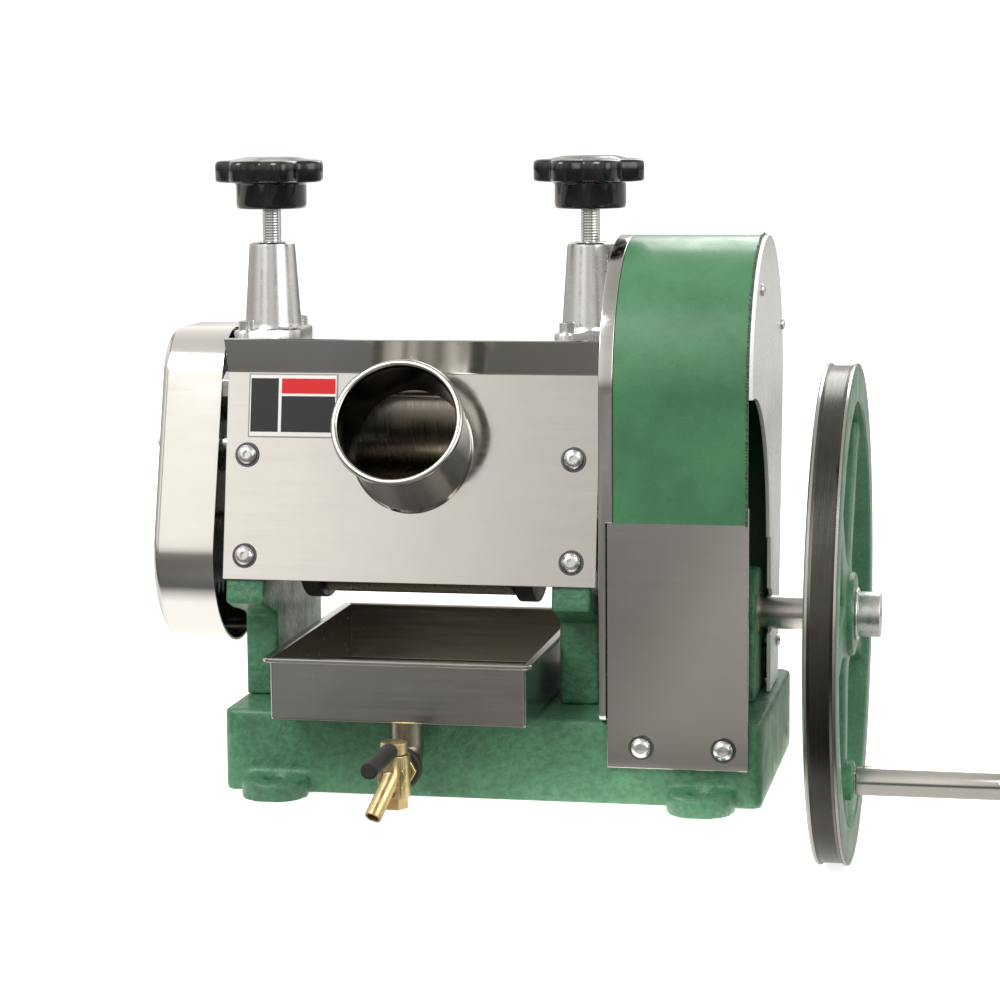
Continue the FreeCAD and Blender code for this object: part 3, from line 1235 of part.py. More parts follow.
def outlet():
    """Outlet pipe, gasket, nut and plug tap with its lever pointing forward, which is open."""
    outer, inner, bend = cell.pipe_radius, cell.pipe_radius - cell.pipe_wall, cell.pipe_bend
    elbow_y, elbow_z = pipe_y - bend, cell.outlet_z + bend
    quarter_turn = Rotation(Vector(0, 1, 0), Vector(0, 0, -1), Vector(-1, 0, 0), "ZXY")
    pieces = []
    for radius in (outer, inner):
        elbow = ring(bend, radius, (pipe_x, elbow_y, elbow_z), quarter_turn)
        elbow.Angle3 = 90
        drop = cylinder(radius, cell.tray_low_z - elbow_z, (pipe_x, pipe_y, elbow_z))
        pieces.append(joined(elbow, drop))
    stub = tube(outer, inner, 3, (pipe_x, elbow_y - 3, cell.outlet_z), ALONG_Y)
    node("outlet_pipe", joined(cut(*pieces), stub))

    start = elbow_y - 3
    barrel = cell.tap_radius
    at = (pipe_x, start, cell.outlet_z)
    node("outlet_gasket", place(tube(cell.gasket_radius, barrel, cell.gasket_width, ORIGIN), at, FACING_FRONT))
    nut_at = (pipe_x, start - cell.gasket_width, cell.outlet_z)
    node("outlet_nut", hex_nut(cell.nut_radius, barrel, cell.nut_width, nut_at, FACING_FRONT))

    housing_radius, housing_half = cell.plug_radius + 4, 13
    plug_y = start - cell.gasket_width - cell.nut_width - housing_radius - cell.slide_gap
    length = start - plug_y + cell.plug_radius + 2
    spout_from = (pipe_x, plug_y - 6, cell.outlet_z)
    spout_turn = Rotation(Vector(0, 0, 1), Vector(-8, -22, -22.5))
    body = joined(
        cylinder(barrel, length, at, FACING_FRONT),
        cylinder(housing_radius, housing_half * 2, (pipe_x, plug_y, cell.outlet_z - housing_half)),
        cylinder(cell.spout_radius, cell.spout_length, spout_from, spout_turn),
    )
    bore_at = (pipe_x, start + 1, cell.outlet_z)
    body_tools = [
        cylinder(cell.tap_bore, length, bore_at, FACING_FRONT),
        cylinder(cell.spout_radius - 1.4, cell.spout_length + 2, spout_from, spout_turn),
        cylinder(cell.plug_radius + cell.running_gap, 60, (pipe_x, plug_y, cell.outlet_z - 30)),
    ]
    node("tap_body", cut(body, *body_tools))

    housing_top = cell.outlet_z + housing_half
    housing_low = cell.outlet_z - housing_half
    nut_height = 7
    collar_low = housing_top + cell.slide_gap
    lever_z = (collar_low + cell.plug_top_z) / 2
    nut_low = housing_low - nut_height - cell.slide_gap
    plug = joined(
        cylinder(cell.plug_radius, cell.plug_top_z - nut_low, (pipe_x, plug_y, nut_low)),
        cylinder(cell.plug_radius + 2.4, cell.plug_top_z - collar_low, (pipe_x, plug_y, collar_low)),
    )
    port = cylinder(cell.tap_bore - 0.6, 40, (pipe_x, plug_y + 20, cell.outlet_z), FACING_FRONT)
    socket = cylinder(cell.lever_radius, cell.plug_radius + 6, (pipe_x, plug_y, lever_z), FACING_FRONT)
    node("tap_plug", cut(plug, port, socket))
    node("plug_nut", hex_nut(cell.plug_radius + 2.6, cell.plug_radius, nut_height, (pipe_x, plug_y, nut_low), UPRIGHT))
    rod_length = cell.lever_length - 2
    node("lever_rod", cylinder(cell.lever_radius, rod_length, (pipe_x, plug_y, lever_z), FACING_FRONT))
    sleeve_start = plug_y - housing_radius - 1
    sleeve_length = cell.lever_length - housing_radius - 1
    sleeve = cylinder(cell.sleeve_radius, sleeve_length, (pipe_x, sleeve_start, lever_z), FACING_FRONT)
    sleeve_bore = cylinder(cell.lever_radius, sleeve_length - 2, (pipe_x, sleeve_start, lever_z), FACING_FRONT)
    node("lever_sleeve", cut(sleeve, sleeve_bore))


base_casting()
side_frame("left_side_frame", left_x, cell.frame_thickness, left_out, False)
side_frame("right_side_frame", right_x, cell.frame_thickness, right_in, True)
frame_fasteners()
feed_plate()
feed_tube()
label_plate()
button_screws()
left_gear_cover()
spacers_and_screws()
bearing_parts()
spring_housings()
pressure_screw("left", left_x)
pressure_screw("right", right_x)
gear_guard()
outboard_bearing_bracket()
guides()
rollers()
gears()
handwheel()
wheel_fittings()
juice_tray()
outlet()

doc.recompute()
for thing in doc.Objects:
    if "Invalid" in thing.State or "Error" in thing.State:
        raise RuntimeError(f"{thing.Name} of {thing.Label} did not build: {thing.State}")
for thing in nodes:
    if thing.Shape.isNull() or not thing.Shape.isValid() or not thing.Shape.Solids:
        raise RuntimeError(f"{thing.Label} has no sound solid")

os.makedirs("parts", exist_ok=True)
for thing in nodes:
    thing.Shape.exportStep(f"parts/{thing.Label}.step")
print(len(nodes), "sub-parts written")
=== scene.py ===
import math

import bmesh
import bpy
from mathutils import Matrix, Vector


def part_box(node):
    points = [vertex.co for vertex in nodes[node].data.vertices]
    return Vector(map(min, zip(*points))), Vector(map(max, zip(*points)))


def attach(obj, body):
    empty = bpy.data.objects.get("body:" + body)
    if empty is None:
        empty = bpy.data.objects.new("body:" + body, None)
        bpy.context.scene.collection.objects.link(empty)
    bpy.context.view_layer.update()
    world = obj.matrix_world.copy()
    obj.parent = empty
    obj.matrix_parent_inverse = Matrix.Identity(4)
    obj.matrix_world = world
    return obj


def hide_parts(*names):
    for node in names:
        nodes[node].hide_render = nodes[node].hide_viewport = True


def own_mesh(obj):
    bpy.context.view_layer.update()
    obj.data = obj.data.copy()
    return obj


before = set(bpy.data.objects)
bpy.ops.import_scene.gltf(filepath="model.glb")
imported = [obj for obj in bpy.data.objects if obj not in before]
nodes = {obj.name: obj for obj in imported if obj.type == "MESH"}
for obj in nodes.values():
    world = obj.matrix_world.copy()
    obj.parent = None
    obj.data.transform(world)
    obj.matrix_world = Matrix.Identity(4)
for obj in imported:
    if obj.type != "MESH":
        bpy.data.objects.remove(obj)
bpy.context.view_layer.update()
RIGHT, BACK, UP = Vector((1, 0, 0)), Vector((0, 1, 0)), Vector((0, 0, 1))

# --- Base casting ---------------------------------------------------------------------------
# A hollow grey-iron box with four bolting lugs, poured in sand, so its corners and the roots
# of its lugs are soft. It is brushed with one thick coat of green enamel.
GREEN = (0.062, 0.200, 0.104)


def finish_nodes(name, colour, roughness, metallic=0.0):
    """Starts a finish: its shader with the settings that are the same all over."""
    material = bpy.data.materials.new(name)
    material.use_nodes = True
    tree = material.node_tree
    shader = tree.nodes["Principled BSDF"]
    shader.inputs["Base Color"].default_value = (*colour, 1)
    shader.inputs["Roughness"].default_value = roughness
    shader.inputs["Metallic"].default_value = metallic
    return material, tree, shader


def pattern(tree, kind, scale, stretch=(1, 1, 1), **inputs):
    """A texture on the piece's own coordinates in metres, stretched along its axes."""
    coordinates = tree.nodes.new("ShaderNodeTexCoord")
    mapping = tree.nodes.new("ShaderNodeMapping")
    mapping.inputs["Scale"].default_value = stretch
    texture = tree.nodes.new(kind)
    texture.inputs["Scale"].default_value = scale
    for label, value in inputs.items():
        texture.inputs[label].default_value = value
    tree.links.new(coordinates.outputs["Object"], mapping.inputs["Vector"])
    tree.links.new(mapping.outputs["Vector"], texture.inputs["Vector"])
    return texture.outputs[0]


def shade(tree, source, stops):
    """Turns a pattern into colours: stops are (place, colour) or (place, grey)."""
    ramp = tree.nodes.new("ShaderNodeValToRGB")
    while len(ramp.color_ramp.elements) < len(stops):
        ramp.color_ramp.elements.new(0.5)
    for element, (at, colour) in zip(ramp.color_ramp.elements, stops):
        element.position = at
        element.color = (*colour, 1) if isinstance(colour, tuple) else (colour, colour, colour, 1)
    tree.links.new(source, ramp.inputs["Fac"])
    return ramp.outputs["Color"]


def mixed(tree, share, first, second, blend="MIX"):
    """Mixes two colours by a share; each of the three is a socket or a plain value."""
    mix = tree.nodes.new("ShaderNodeMix")
    mix.data_type, mix.blend_type = "RGBA", blend
    for label, value in (("Factor", share), ("A", first), ("B", second)):
        if isinstance(value, (float, tuple)):
            mix.inputs[label].default_value = (*value, 1) if isinstance(value, tuple) else value
        else:
            tree.links.new(value, mix.inputs[label])
    return mix.outputs["Result"]


def relief(tree, shader, source, depth, strength=1.0):
    """Adds a pattern to the finish as a bump of that depth in metres."""
    bump = tree.nodes.new("ShaderNodeBump")
    bump.inputs["Distance"].default_value = depth
    bump.inputs["Strength"].default_value = strength
    tree.links.new(source, bump.inputs["Height"])
    below = shader.inputs["Normal"].links
    if below:
        tree.links.new(below[0].from_socket, bump.inputs["Normal"])
    tree.links.new(bump.outputs["Normal"], shader.inputs["Normal"])


def enamel(name, colour, roughness, grain, depth, coat=0.3, fleck=0.1, cloudy=0.15):
    """Brushed or sprayed enamel: uneven colour, orange peel and the metal's grain under it."""
    material, tree, shader = finish_nodes(name, colour, roughness)
    shader.inputs["Coat Weight"].default_value = coat
    shader.inputs["Coat Roughness"].default_value = 0.18
    darker, lighter = (tuple(value * share for value in colour) for share in (1 - cloudy, 1 + cloudy))
    cloud = pattern(tree, "ShaderNodeTexNoise", 26, Detail=7, Roughness=0.68)
    skin = pattern(tree, "ShaderNodeTexNoise", grain, Detail=4, Roughness=0.62)
    clouds = shade(tree, cloud, [(0.36, darker), (0.5, colour), (0.66, lighter)])
    flecks = shade(tree, skin, [(0.36, 1 - fleck), (0.52, 1.0), (0.7, 1 + fleck)])
    tree.links.new(mixed(tree, 1.0, clouds, flecks, "MULTIPLY"), shader.inputs["Base Color"])
    wear = pattern(tree, "ShaderNodeTexNoise", 60, Detail=3)
    tree.links.new(shade(tree, wear, [(0.3, roughness * 0.75), (0.75, roughness * 1.35)]),
                   shader.inputs["Roughness"])
    relief(tree, shader, skin, depth)
    relief(tree, shader, pattern(tree, "ShaderNodeTexNoise", 38, Detail=1), depth * 1.5)
    return material


green_casting = enamel("Green enamel on sand casting", GREEN, 0.42, 260, 0.0011, coat=0.12, fleck=0.22)


def copy_of(node):
    """A welded copy of a CAD node's mesh with its flat faces made whole."""
    form = bmesh.new()
    form.from_mesh(nodes[node].data)
    bmesh.ops.remove_doubles(form, verts=form.verts, dist=2e-6)
    bmesh.ops.dissolve_limit(form, angle_limit=math.radians(0.6), verts=form.verts, edges=form.edges)
    return form


def piece_from(name, form, sharp=35):
    """Makes the piece's object, smooth but for the edges sharper than the angle."""
    mesh = bpy.data.meshes.new(name)
    form.to_mesh(mesh)
    form.free()
    mesh.shade_smooth()
    mesh.set_sharp_from_angle(angle=math.radians(sharp))
    piece = bpy.data.objects.new(name, mesh)
    bpy.context.scene.collection.objects.link(piece)
    return piece


def settle(piece):
    """Takes the modifiers' result as the piece's own mesh."""
    graph = bpy.context.evaluated_depsgraph_get()
    mesh = bpy.data.meshes.new_from_object(piece.evaluated_get(graph))
    piece.modifiers.clear()
    piece.data = mesh


def fit(piece, body, slot, finish, *replaced):
    """Gives the piece its finish and puts it on its body, in place of its CAD nodes."""
    piece.data.materials.clear()
    piece.data.materials.append(finish)
    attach(piece, body)
    if replaced:
        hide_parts(*replaced)


def sand_cast(name, node, grain, rounding):
    """The node's form as the foundry leaves it, its corners rounded by the sand mould."""
    piece = piece_from(name, copy_of(node), 180)
    remesh = piece.modifiers.new("Sand skin", "REMESH")
    remesh.mode = "VOXEL"
    remesh.voxel_size = grain
    soften = piece.modifiers.new("Mould radii", "SMOOTH")
    soften.factor, soften.iterations = 0.5, rounding
    settle(piece)
    piece.data.shade_smooth()
    fit(piece, "frame", "green_casting", green_casting, node)


sand_cast("base_iron", "base_casting", grain=0.0018, rounding=5)
sand_cast("base_ribs_iron", "base_ribs", grain=0.0015, rounding=3)

# --- Side frames and outboard bracket -------------------------------------------------------
# Two more castings stand on the deck and carry every shaft; a third one, inside the gear
# guard, steadies the wheel shaft. They have the same green enamel.
for name, node in (
    ("left_frame_iron", "left_side_frame"),
    ("right_frame_iron", "right_side_frame"),
    ("outboard_bracket_iron", "outboard_bearing_bracket"),
):
    sand_cast(name, node, grain=0.0016, rounding=4)


# --- Steel finishes and machined small parts ------------------------------------------------
# Bearing blocks, bronze bushes, tie bars and gears are sawn, turned or hobbed, with their
# sharp edges broken by a file. Grease and dust have darkened the gears.
def metal(name, colour, roughness, lines, depth, across=(1, 1, 1), blotch=0.12):
    """Bare metal with tool lines: the axis with the largest share is the one they cross."""
    material, tree, shader = finish_nodes(name, colour, roughness, 1.0)
    cloud = pattern(tree, "ShaderNodeTexNoise", 22, Detail=4, Roughness=0.65)
    low = tuple(value * (1 - blotch) for value in colour)
    tree.links.new(shade(tree, cloud, [(0.35, low), (0.65, colour)]), shader.inputs["Base Color"])
    strokes = pattern(tree, "ShaderNodeTexNoise", lines, across, Detail=5, Roughness=0.7)
    tree.links.new(shade(tree, strokes, [(0.3, roughness * 0.7), (0.7, roughness * 1.4)]),
                   shader.inputs["Roughness"])
    relief(tree, shader, strokes, depth)
    return material


turned_steel = metal("Turned stainless steel", (0.62, 0.60, 0.57), 0.2, 900, 0.000015, (1, 0.03, 0.03))
zinc_plate = metal("Bright zinc plating", (0.78, 0.78, 0.79), 0.27, 160, 0.000006, blotch=0.05)
bronze = metal("Sintered bronze", (0.50, 0.34, 0.17), 0.36, 700, 0.00002)
gear_iron = metal("Greased cast iron", (0.16, 0.16, 0.165), 0.42, 260, 0.00005, blotch=0.35)
spring_steel = metal("Oiled spring steel", (0.30, 0.30, 0.32), 0.3, 500, 0.00001)


def flat_faces(piece):
    """Settles the piece, so that its broad faces shade flat right up to their rounded edges."""
    settle(piece)
    piece.data.shade_smooth()
    piece.data.set_sharp_from_angle(angle=math.radians(35))
    weigh = piece.modifiers.new("Flat faces", "WEIGHTED_NORMAL")
    weigh.keep_sharp = True
    settle(piece)


def machined(name, node, body, slot, finish, break_width=0.0004):
    """The node's form with its sharp edges broken."""
    piece = piece_from(name, copy_of(node))
    edges = piece.modifiers.new("Broken edges", "BEVEL")
    edges.width, edges.segments = break_width, 2
    edges.limit_method, edges.angle_limit = "ANGLE", math.radians(38)
    edges.use_clamp_overlap = False
    flat_faces(piece)
    fit(piece, body, slot, finish, node)


for name, node, body, slot, finish in (
    ("bearing_blocks_top", "top_bearing_blocks", "frame", "gear_iron", gear_iron),
    ("bushes", "bearing_bushes", "frame", "bronze", bronze),
    ("tie_rods", "tie_bars", "frame", "stainless_bar", turned_steel),
    ("tie_rod_nuts", "tie_bar_nuts", "frame", "zinc_plated", zinc_plate),
    ("spacer_posts", "cover_spacers", "frame", "zinc_plated", zinc_plate),
    ("gear_main", "main_gear", "top_roller_set", "gear_iron", gear_iron),
    ("gear_top_end", "top_end_gear", "top_roller_set", "gear_iron", gear_iron),
    ("gear_front_end", "front_end_gear", "front_roller_set", "gear_iron", gear_iron),
    ("gear_rear_end", "rear_end_gear", "rear_roller_set", "gear_iron", gear_iron),
    ("gear_compound", "compound_gear", "compound", "gear_iron", gear_iron),
    ("gear_pinion", "drive_pinion", "wheel", "gear_iron", gear_iron),
):
    machined(name, node, body, slot, finish)


# --- Rollers --------------------------------------------------------------------------------
# Three stainless rollers, each turned in one piece with its journals. The front one has a
# black nylon collar beside each end of its barrel, which keeps the juice off the bearings.
def turned(name, profile, start, axis, steps=96, loop=False):
    """A turned piece from (distance along the axis, radius) points; a loop is a hollow one."""
    axis = Vector(axis).normalized()
    side = axis.cross(UP if abs(axis.z) < 0.9 else RIGHT).normalized()
    other = axis.cross(side)
    form = bmesh.new()
    rings = []
    for along, radius in profile:
        centre = Vector(start) + axis * along
        if radius < 1e-7:
            rings.append([form.verts.new(centre)] * steps)
            continue
        rings.append([
            form.verts.new(centre + side * radius * math.cos(turn) + other * radius * math.sin(turn))
            for turn in (step * math.tau / steps for step in range(steps))
        ])
    pairs = list(zip(rings, rings[1:])) + ([(rings[-1], rings[0])] if loop else [])
    for near, far in pairs:
        for step in range(steps):
            corners = [near[step - 1], near[step], far[step], far[step - 1]]
            corners = list(dict.fromkeys(corners))
            if len(corners) > 2:
                form.faces.new(corners)
    bmesh.ops.recalc_face_normals(form, faces=form.faces)
    return piece_from(name, form)


JOURNAL = {"top_roller": 0.011, "front_roller": 0.011, "rear_roller": 0.009}
BARREL_START, BARREL_END, CHAMFER = -0.117, 0.0065, 0.0012
# The barrels are darker and browner than the other steel: partly juice stain, partly painted shade for rollers
# deep under the feed plate.
barrel_steel = metal("Ground roller barrel", (0.46, 0.42, 0.36), 0.3, 900, 0.00003, (1, 0.02, 0.02),
                     blotch=0.2)

for roller, journal in JOURNAL.items():
    low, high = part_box(roller)
    barrel = (high.z - low.z) / 2
    near, far, length = BARREL_START - low.x, BARREL_END - low.x, high.x - low.x
    profile = [
        (0, 0), (0, journal - CHAMFER), (CHAMFER, journal), (near, journal), (near, barrel - CHAMFER),
        (near + CHAMFER, barrel), (far - CHAMFER, barrel), (far, barrel - CHAMFER), (far, journal),
        (length - CHAMFER, journal), (length, journal - CHAMFER), (length, 0),
    ]
    start = (low.x, (low.y + high.y) / 2, (low.z + high.z) / 2)
    piece = turned(roller + "_turned", profile, start, RIGHT, 128)
    fit(piece, roller + "_set", "stainless_bar", barrel_steel, roller)


def moulded(name, colour, roughness, grain, depth, coat=0.0):
    """Moulded plastic or rubber with a fine skin and a little dust."""
    material, tree, shader = finish_nodes(name, colour, roughness)
    shader.inputs["Coat Weight"].default_value = coat
    shader.inputs["Coat Roughness"].default_value = 0.06
    dust = pattern(tree, "ShaderNodeTexNoise", 90, Detail=5, Roughness=0.7)
    dusty = tuple(value + 0.018 for value in colour)
    tree.links.new(shade(tree, dust, [(0.45, colour), (0.8, dusty)]), shader.inputs["Base Color"])
    tree.links.new(shade(tree, dust, [(0.35, roughness), (0.75, min(1, roughness * 1.5))]),
                   shader.inputs["Roughness"])
    relief(tree, shader, pattern(tree, "ShaderNodeTexNoise", grain, Detail=2), depth)
    return material


black_nylon = moulded("Black nylon", (0.022, 0.022, 0.023), 0.42, 700, 0.00003)
machined("roller_collars", "front_roller_collars", "front_roller_set", "black_nylon", black_nylon, 0.0008)

# --- Guides inside the press ----------------------------------------------------------------
# The turner bar and the scraper are milled from bar; the chute for the spent cane is folded
# from sheet and runs out between the frames at the back.
polished_sheet = metal("Polished stainless sheet", (0.68, 0.67, 0.65), 0.11, 240, 0.000004, (0.05, 1, 1),
                       blotch=0.04)
machined("turner_bar", "trash_turner", "frame", "stainless_bar", turned_steel)
machined("scraper_blade", "roller_scraper", "frame", "stainless_bar", turned_steel, 0.0002)
machined("cane_chute", "bagasse_chute", "frame", "stainless_sheet", polished_sheet, 0.0003)


# --- Spring housings, springs and screws ----------------------------------------------------
# Polished aluminium sleeves on oval flanges, each held by two socket screws. A coil spring
# inside presses the top roller's bearing block down, as far as the screw above it says.
def belt_outline(circles, inset=0.0, steps=180):
    """Points of the outline that a belt takes round circles of (across, up, radius)."""
    points = []
    for step in range(steps):
        turn = step * math.tau / steps
        across, up = math.cos(turn), math.sin(turn)
        x, y, radius = max(circles, key=lambda c: c[0] * across + c[1] * up + c[2])
        points.append((x + across * (radius - inset), y + up * (radius - inset)))
    return points


def stacked(form, rings, loop=False):
    """Joins rings of points that follow each other; a loop ends where it began, without lids."""
    rings = [[form.verts.new(point) for point in ring] for ring in rings]
    for near, far in zip(rings, rings[1:] + (rings[:1] if loop else [])):
        for step in range(len(near)):
            form.faces.new((near[step - 1], near[step], far[step], far[step - 1]))
    if not loop:
        form.faces.new(rings[0][::-1])
        form.faces.new(rings[-1])


cast_aluminium = metal("Polished cast aluminium", (0.62, 0.62, 0.625), 0.25, 90, 0.00001, blotch=0.05)
FLANGE_LOW, FLANGE_TOP, SLEEVE_TOP = 0.276, 0.286, 0.3416
EAR_ACROSS, EAR_ALONG, EAR_RADIUS = 0.011, 0.026, 0.008
SLEEVE_FOOT, SLEEVE_NECK, SPRING_BORE, SCREW_BORE = 0.0184, 0.0148, 0.012, 0.0061
top_axis_y = (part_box("top_roller")[0].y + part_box("top_roller")[1].y) / 2
frame_middles = [
    (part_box(side + "_spring_seat")[0].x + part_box(side + "_spring_seat")[1].x) / 2 for side in ("left", "right")
]
housings = []
for middle in frame_middles:
    ears = [
        (middle - EAR_ACROSS, top_axis_y - EAR_ALONG, EAR_RADIUS),
        (middle, top_axis_y, SLEEVE_FOOT + 0.001),
        (middle + EAR_ACROSS, top_axis_y + EAR_ALONG, EAR_RADIUS),
    ]
    form = bmesh.new()
    stacked(form, [
        [(x, y, height) for x, y in belt_outline(ears, inset)]
        for height, inset in (
            (FLANGE_LOW, 0.0008), (FLANGE_LOW + 0.0008, 0), (FLANGE_TOP - 0.002, 0),
            (FLANGE_TOP - 0.0006, 0.0006), (FLANGE_TOP, 0.002),
        )
    ])
    housings.append(piece_from("flange", form))
    rise = SLEEVE_TOP - FLANGE_TOP
    housings.append(turned("sleeve", [
        (-0.004, SPRING_BORE), (-0.004, SLEEVE_FOOT), (0, SLEEVE_FOOT + 0.001),
        (0.0012, SLEEVE_FOOT + 0.0002), (0.003, SLEEVE_FOOT - 0.0002), (rise - 0.003, SLEEVE_NECK + 0.0001),
        (rise - 0.0012, SLEEVE_NECK - 0.0003), (rise - 0.0003, SLEEVE_NECK - 0.0013),
        (rise, SLEEVE_NECK - 0.0025), (rise, SCREW_BORE + 0.0006), (rise - 0.0006, SCREW_BORE),
        (rise - 0.009, SCREW_BORE), (rise - 0.009, SPRING_BORE),
    ], (middle, top_axis_y, FLANGE_TOP), UP, 96, loop=True))


def join(name, parts):
    """One piece from several."""
    form = bmesh.new()
    for part in parts:
        form.from_mesh(part.data)
        bpy.data.objects.remove(part)
    return piece_from(name, form)


fit(join("housings_polished", housings), "frame", "cast_aluminium", cast_aluminium, "spring_housings")
for side in ("left", "right"):
    machined(side + "_seat_disc", side + "_spring_seat", side + "_seat", "zinc_plated", zinc_plate)
    low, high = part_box(side + "_pressure_spring")
    coil = piece_from(side + "_coil", copy_of(side + "_pressure_spring"))
    fit(coil, "frame", "spring_steel", spring_steel, side + "_pressure_spring")
    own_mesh(coil)

# --- Pressure screws and star knobs ---------------------------------------------------------
# A zinc plated M12 rod with a seven-lobed phenolic knob moulded on its end, glossy black.
THREAD, ROD_RADIUS = 0.00175, 0.006
threaded_zinc, tree, shader = finish_nodes("Threaded zinc plating", (0.72, 0.73, 0.74), 0.22, 1.0)
thread = pattern(tree, "ShaderNodeTexWave", math.pi / 10 / THREAD, Distortion=0.0)
thread.node.bands_direction = "Z"
relief(tree, shader, thread, 0.0002, 0.4)
black_knob = moulded("Glossy black phenolic", (0.007, 0.007, 0.008), 0.15, 120, 0.00004, coat=0.3)
LOBES, STAR_REACH, HOLLOW, OUTLINE_STEPS = 7, 0.036, 0.0068, 210
HUB_RADIUS, HUB_HEIGHT, STAR_HEIGHT, DOME = 0.0227, 0.017, 0.014, 0.002


def star_radius(turn, reach):
    """Reach of the seven-lobed outline in a direction, with hollows between its lobes."""
    lobe = (1 + math.cos(LOBES * (turn - math.pi / 2))) / 2
    return reach - HOLLOW + HOLLOW * lobe ** 0.75


for side, middle in zip(("left", "right"), frame_middles):
    low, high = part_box(side + "_pressure_screw")
    rod = turned(side + "_screw_rod", [
        (0, 0), (0, ROD_RADIUS - 0.001), (0.001, ROD_RADIUS), (high.z - low.z, ROD_RADIUS), (high.z - low.z, 0),
    ], (middle, top_axis_y, low.z), UP, 64)
    fit(rod, side + "_knob", "zinc_plated", threaded_zinc, side + "_pressure_screw")

    hub_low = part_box(side + "_star_knob")[0].z
    star_low, star_top = hub_low + HUB_HEIGHT, hub_low + HUB_HEIGHT + STAR_HEIGHT
    levels = [(hub_low, 0, 0.0208), (hub_low + 0.0006, 0, 0.0222), (hub_low + 0.003, 0, HUB_RADIUS),
              (star_low - 0.002, 0, HUB_RADIUS), (star_low - 0.0006, 0.2, 0.0238),
              (star_low, 0.75, STAR_REACH - 0.0030), (star_low + 0.0005, 1, STAR_REACH - 0.0008),
              (star_low + 0.0016, 1, STAR_REACH), (star_top - 0.0028, 1, STAR_REACH),
              (star_top - 0.0012, 1, STAR_REACH - 0.0005), (star_top - 0.0003, 1, STAR_REACH - 0.0018),
              (star_top, 1, STAR_REACH - 0.0040), (star_top + 0.0003, 0.3, 0.0255),
              (star_top + DOME * 0.75, 0, 0.0195), (star_top + DOME, 0, 0.017), (star_top + DOME, 0, 0.006)]
    form = bmesh.new()
    stacked(form, [
        [
            (middle + radius * math.cos(turn), top_axis_y + radius * math.sin(turn), height)
            for turn in (step * math.tau / OUTLINE_STEPS for step in range(OUTLINE_STEPS))
            for radius in [reach * (1 - star) + star_radius(turn, reach) * star]
        ]
        for height, star, reach in levels
    ])
    bmesh.ops.recalc_face_normals(form, faces=form.faces)
    knob = piece_from(side + "_knob_moulded", form, 60)
    fit(knob, side + "_knob", "black_knob", black_knob, side + "_star_knob")

# --- Feed plate -----------------------------------------------------------------------------
# Polished stainless sheet, 2 mm thick, that leans back on the frames' front edges. Its top is
# bent forward as a lip, and the feed tube passes through a hole in its middle.
PLATE_FOOT, PLATE_BEND, PLATE_LIP = (-0.0775, 0.132), (-0.055, 0.262), (-0.064, 0.283)
PLATE_THICKNESS, BEND_RADIUS = 0.002, 0.0025
TUBE_MOUTH, TUBE_TILT, TUBE_RADIUS = Vector((-0.0535, -0.103, 0.236)), math.radians(27), 0.038
tube_axis = Vector((0, math.cos(TUBE_TILT), -math.sin(TUBE_TILT)))


def rounded_path(corners, radius, steps=6):
    """The path through the corners with an arc of that radius at each inner one."""
    path = [Vector(corners[0])]
    for before, corner, after in zip(corners, corners[1:], corners[2:]):
        corner = Vector(corner)
        back, ahead = (Vector(before) - corner).normalized(), (Vector(after) - corner).normalized()
        half = back.angle(ahead) / 2
        reach = radius / math.tan(half)
        centre = corner + (back + ahead).normalized() * radius / math.sin(half)
        start, end = corner + back * reach - centre, corner + ahead * reach - centre
        for step in range(steps + 1):
            blend = start.lerp(end, step / steps).normalized() * radius
            path.append(centre + blend)
    path.append(Vector(corners[-1]))
    return path


def folded_sheet(name, path, thickness, x_low, x_high, edge=0.0004):
    """Sheet that follows a path of (y, z) points, its thickness to the path's left."""
    left = []
    for index, point in enumerate(path):
        along = path[min(index + 1, len(path) - 1)] - path[max(index - 1, 0)]
        left.append(point + Vector((-along.y, along.x)).normalized() * thickness)
    outline = path + left[::-1]
    form = bmesh.new()
    stacked(form, [[(x, point.x, point.y) for point in outline] for x in (x_low, x_high)])
    bmesh.ops.recalc_face_normals(form, faces=form.faces)
    piece = piece_from(name, form)
    round_edges = piece.modifiers.new("Deburred edge", "BEVEL")
    round_edges.width, round_edges.segments = edge, 2
    round_edges.limit_method, round_edges.angle_limit = "ANGLE", math.radians(50)
    return piece


low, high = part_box("feed_plate")
path = rounded_path([PLATE_LIP, PLATE_BEND, PLATE_FOOT], BEND_RADIUS)
plate = folded_sheet("feed_plate_sheet", path, PLATE_THICKNESS, low.x, high.x)
settle(plate)
cutter = turned("cutter", [(0, 0), (0, TUBE_RADIUS - 0.0004), (0.12, TUBE_RADIUS - 0.0004), (0.12, 0)],
                TUBE_MOUTH, tube_axis, 96)
hole = plate.modifiers.new("Tube hole", "BOOLEAN")
hole.operation, hole.object, hole.solver = "DIFFERENCE", cutter, "EXACT"
flat_faces(plate)
bpy.data.objects.remove(cutter)
fit(plate, "frame", "stainless_sheet", polished_sheet, "feed_plate")

# --- Feed tube ------------------------------------------------------------------------------
# Three inch stainless tube with a rolled bead at its mouth, welded into the feed plate and
# cut off parallel to it just behind. Cane goes down it to the rollers.
TUBE_WALL, BEAD, WELD, TAIL, TUBE_STEPS = 0.0015, 0.0024, 0.0014, 0.003, 128
plate_slope = (PLATE_BEND[0] - PLATE_FOOT[0]) / (PLATE_BEND[1] - PLATE_FOOT[1])
tube_steel = metal("Tube steel", (0.60, 0.585, 0.55), 0.15, 500, 0.000008, (1, 0.2, 0.2), 0.08)


def reckon(tree, operation, first, second):
    """Reckons with two values, each a socket or a plain number."""
    node = tree.nodes.new("ShaderNodeMath")
    node.operation = operation
    for socket, value in zip(node.inputs, (first, second)):
        if isinstance(value, (int, float)):
            socket.default_value = value
        else:
            tree.links.new(value, socket)
    return node.outputs[0]


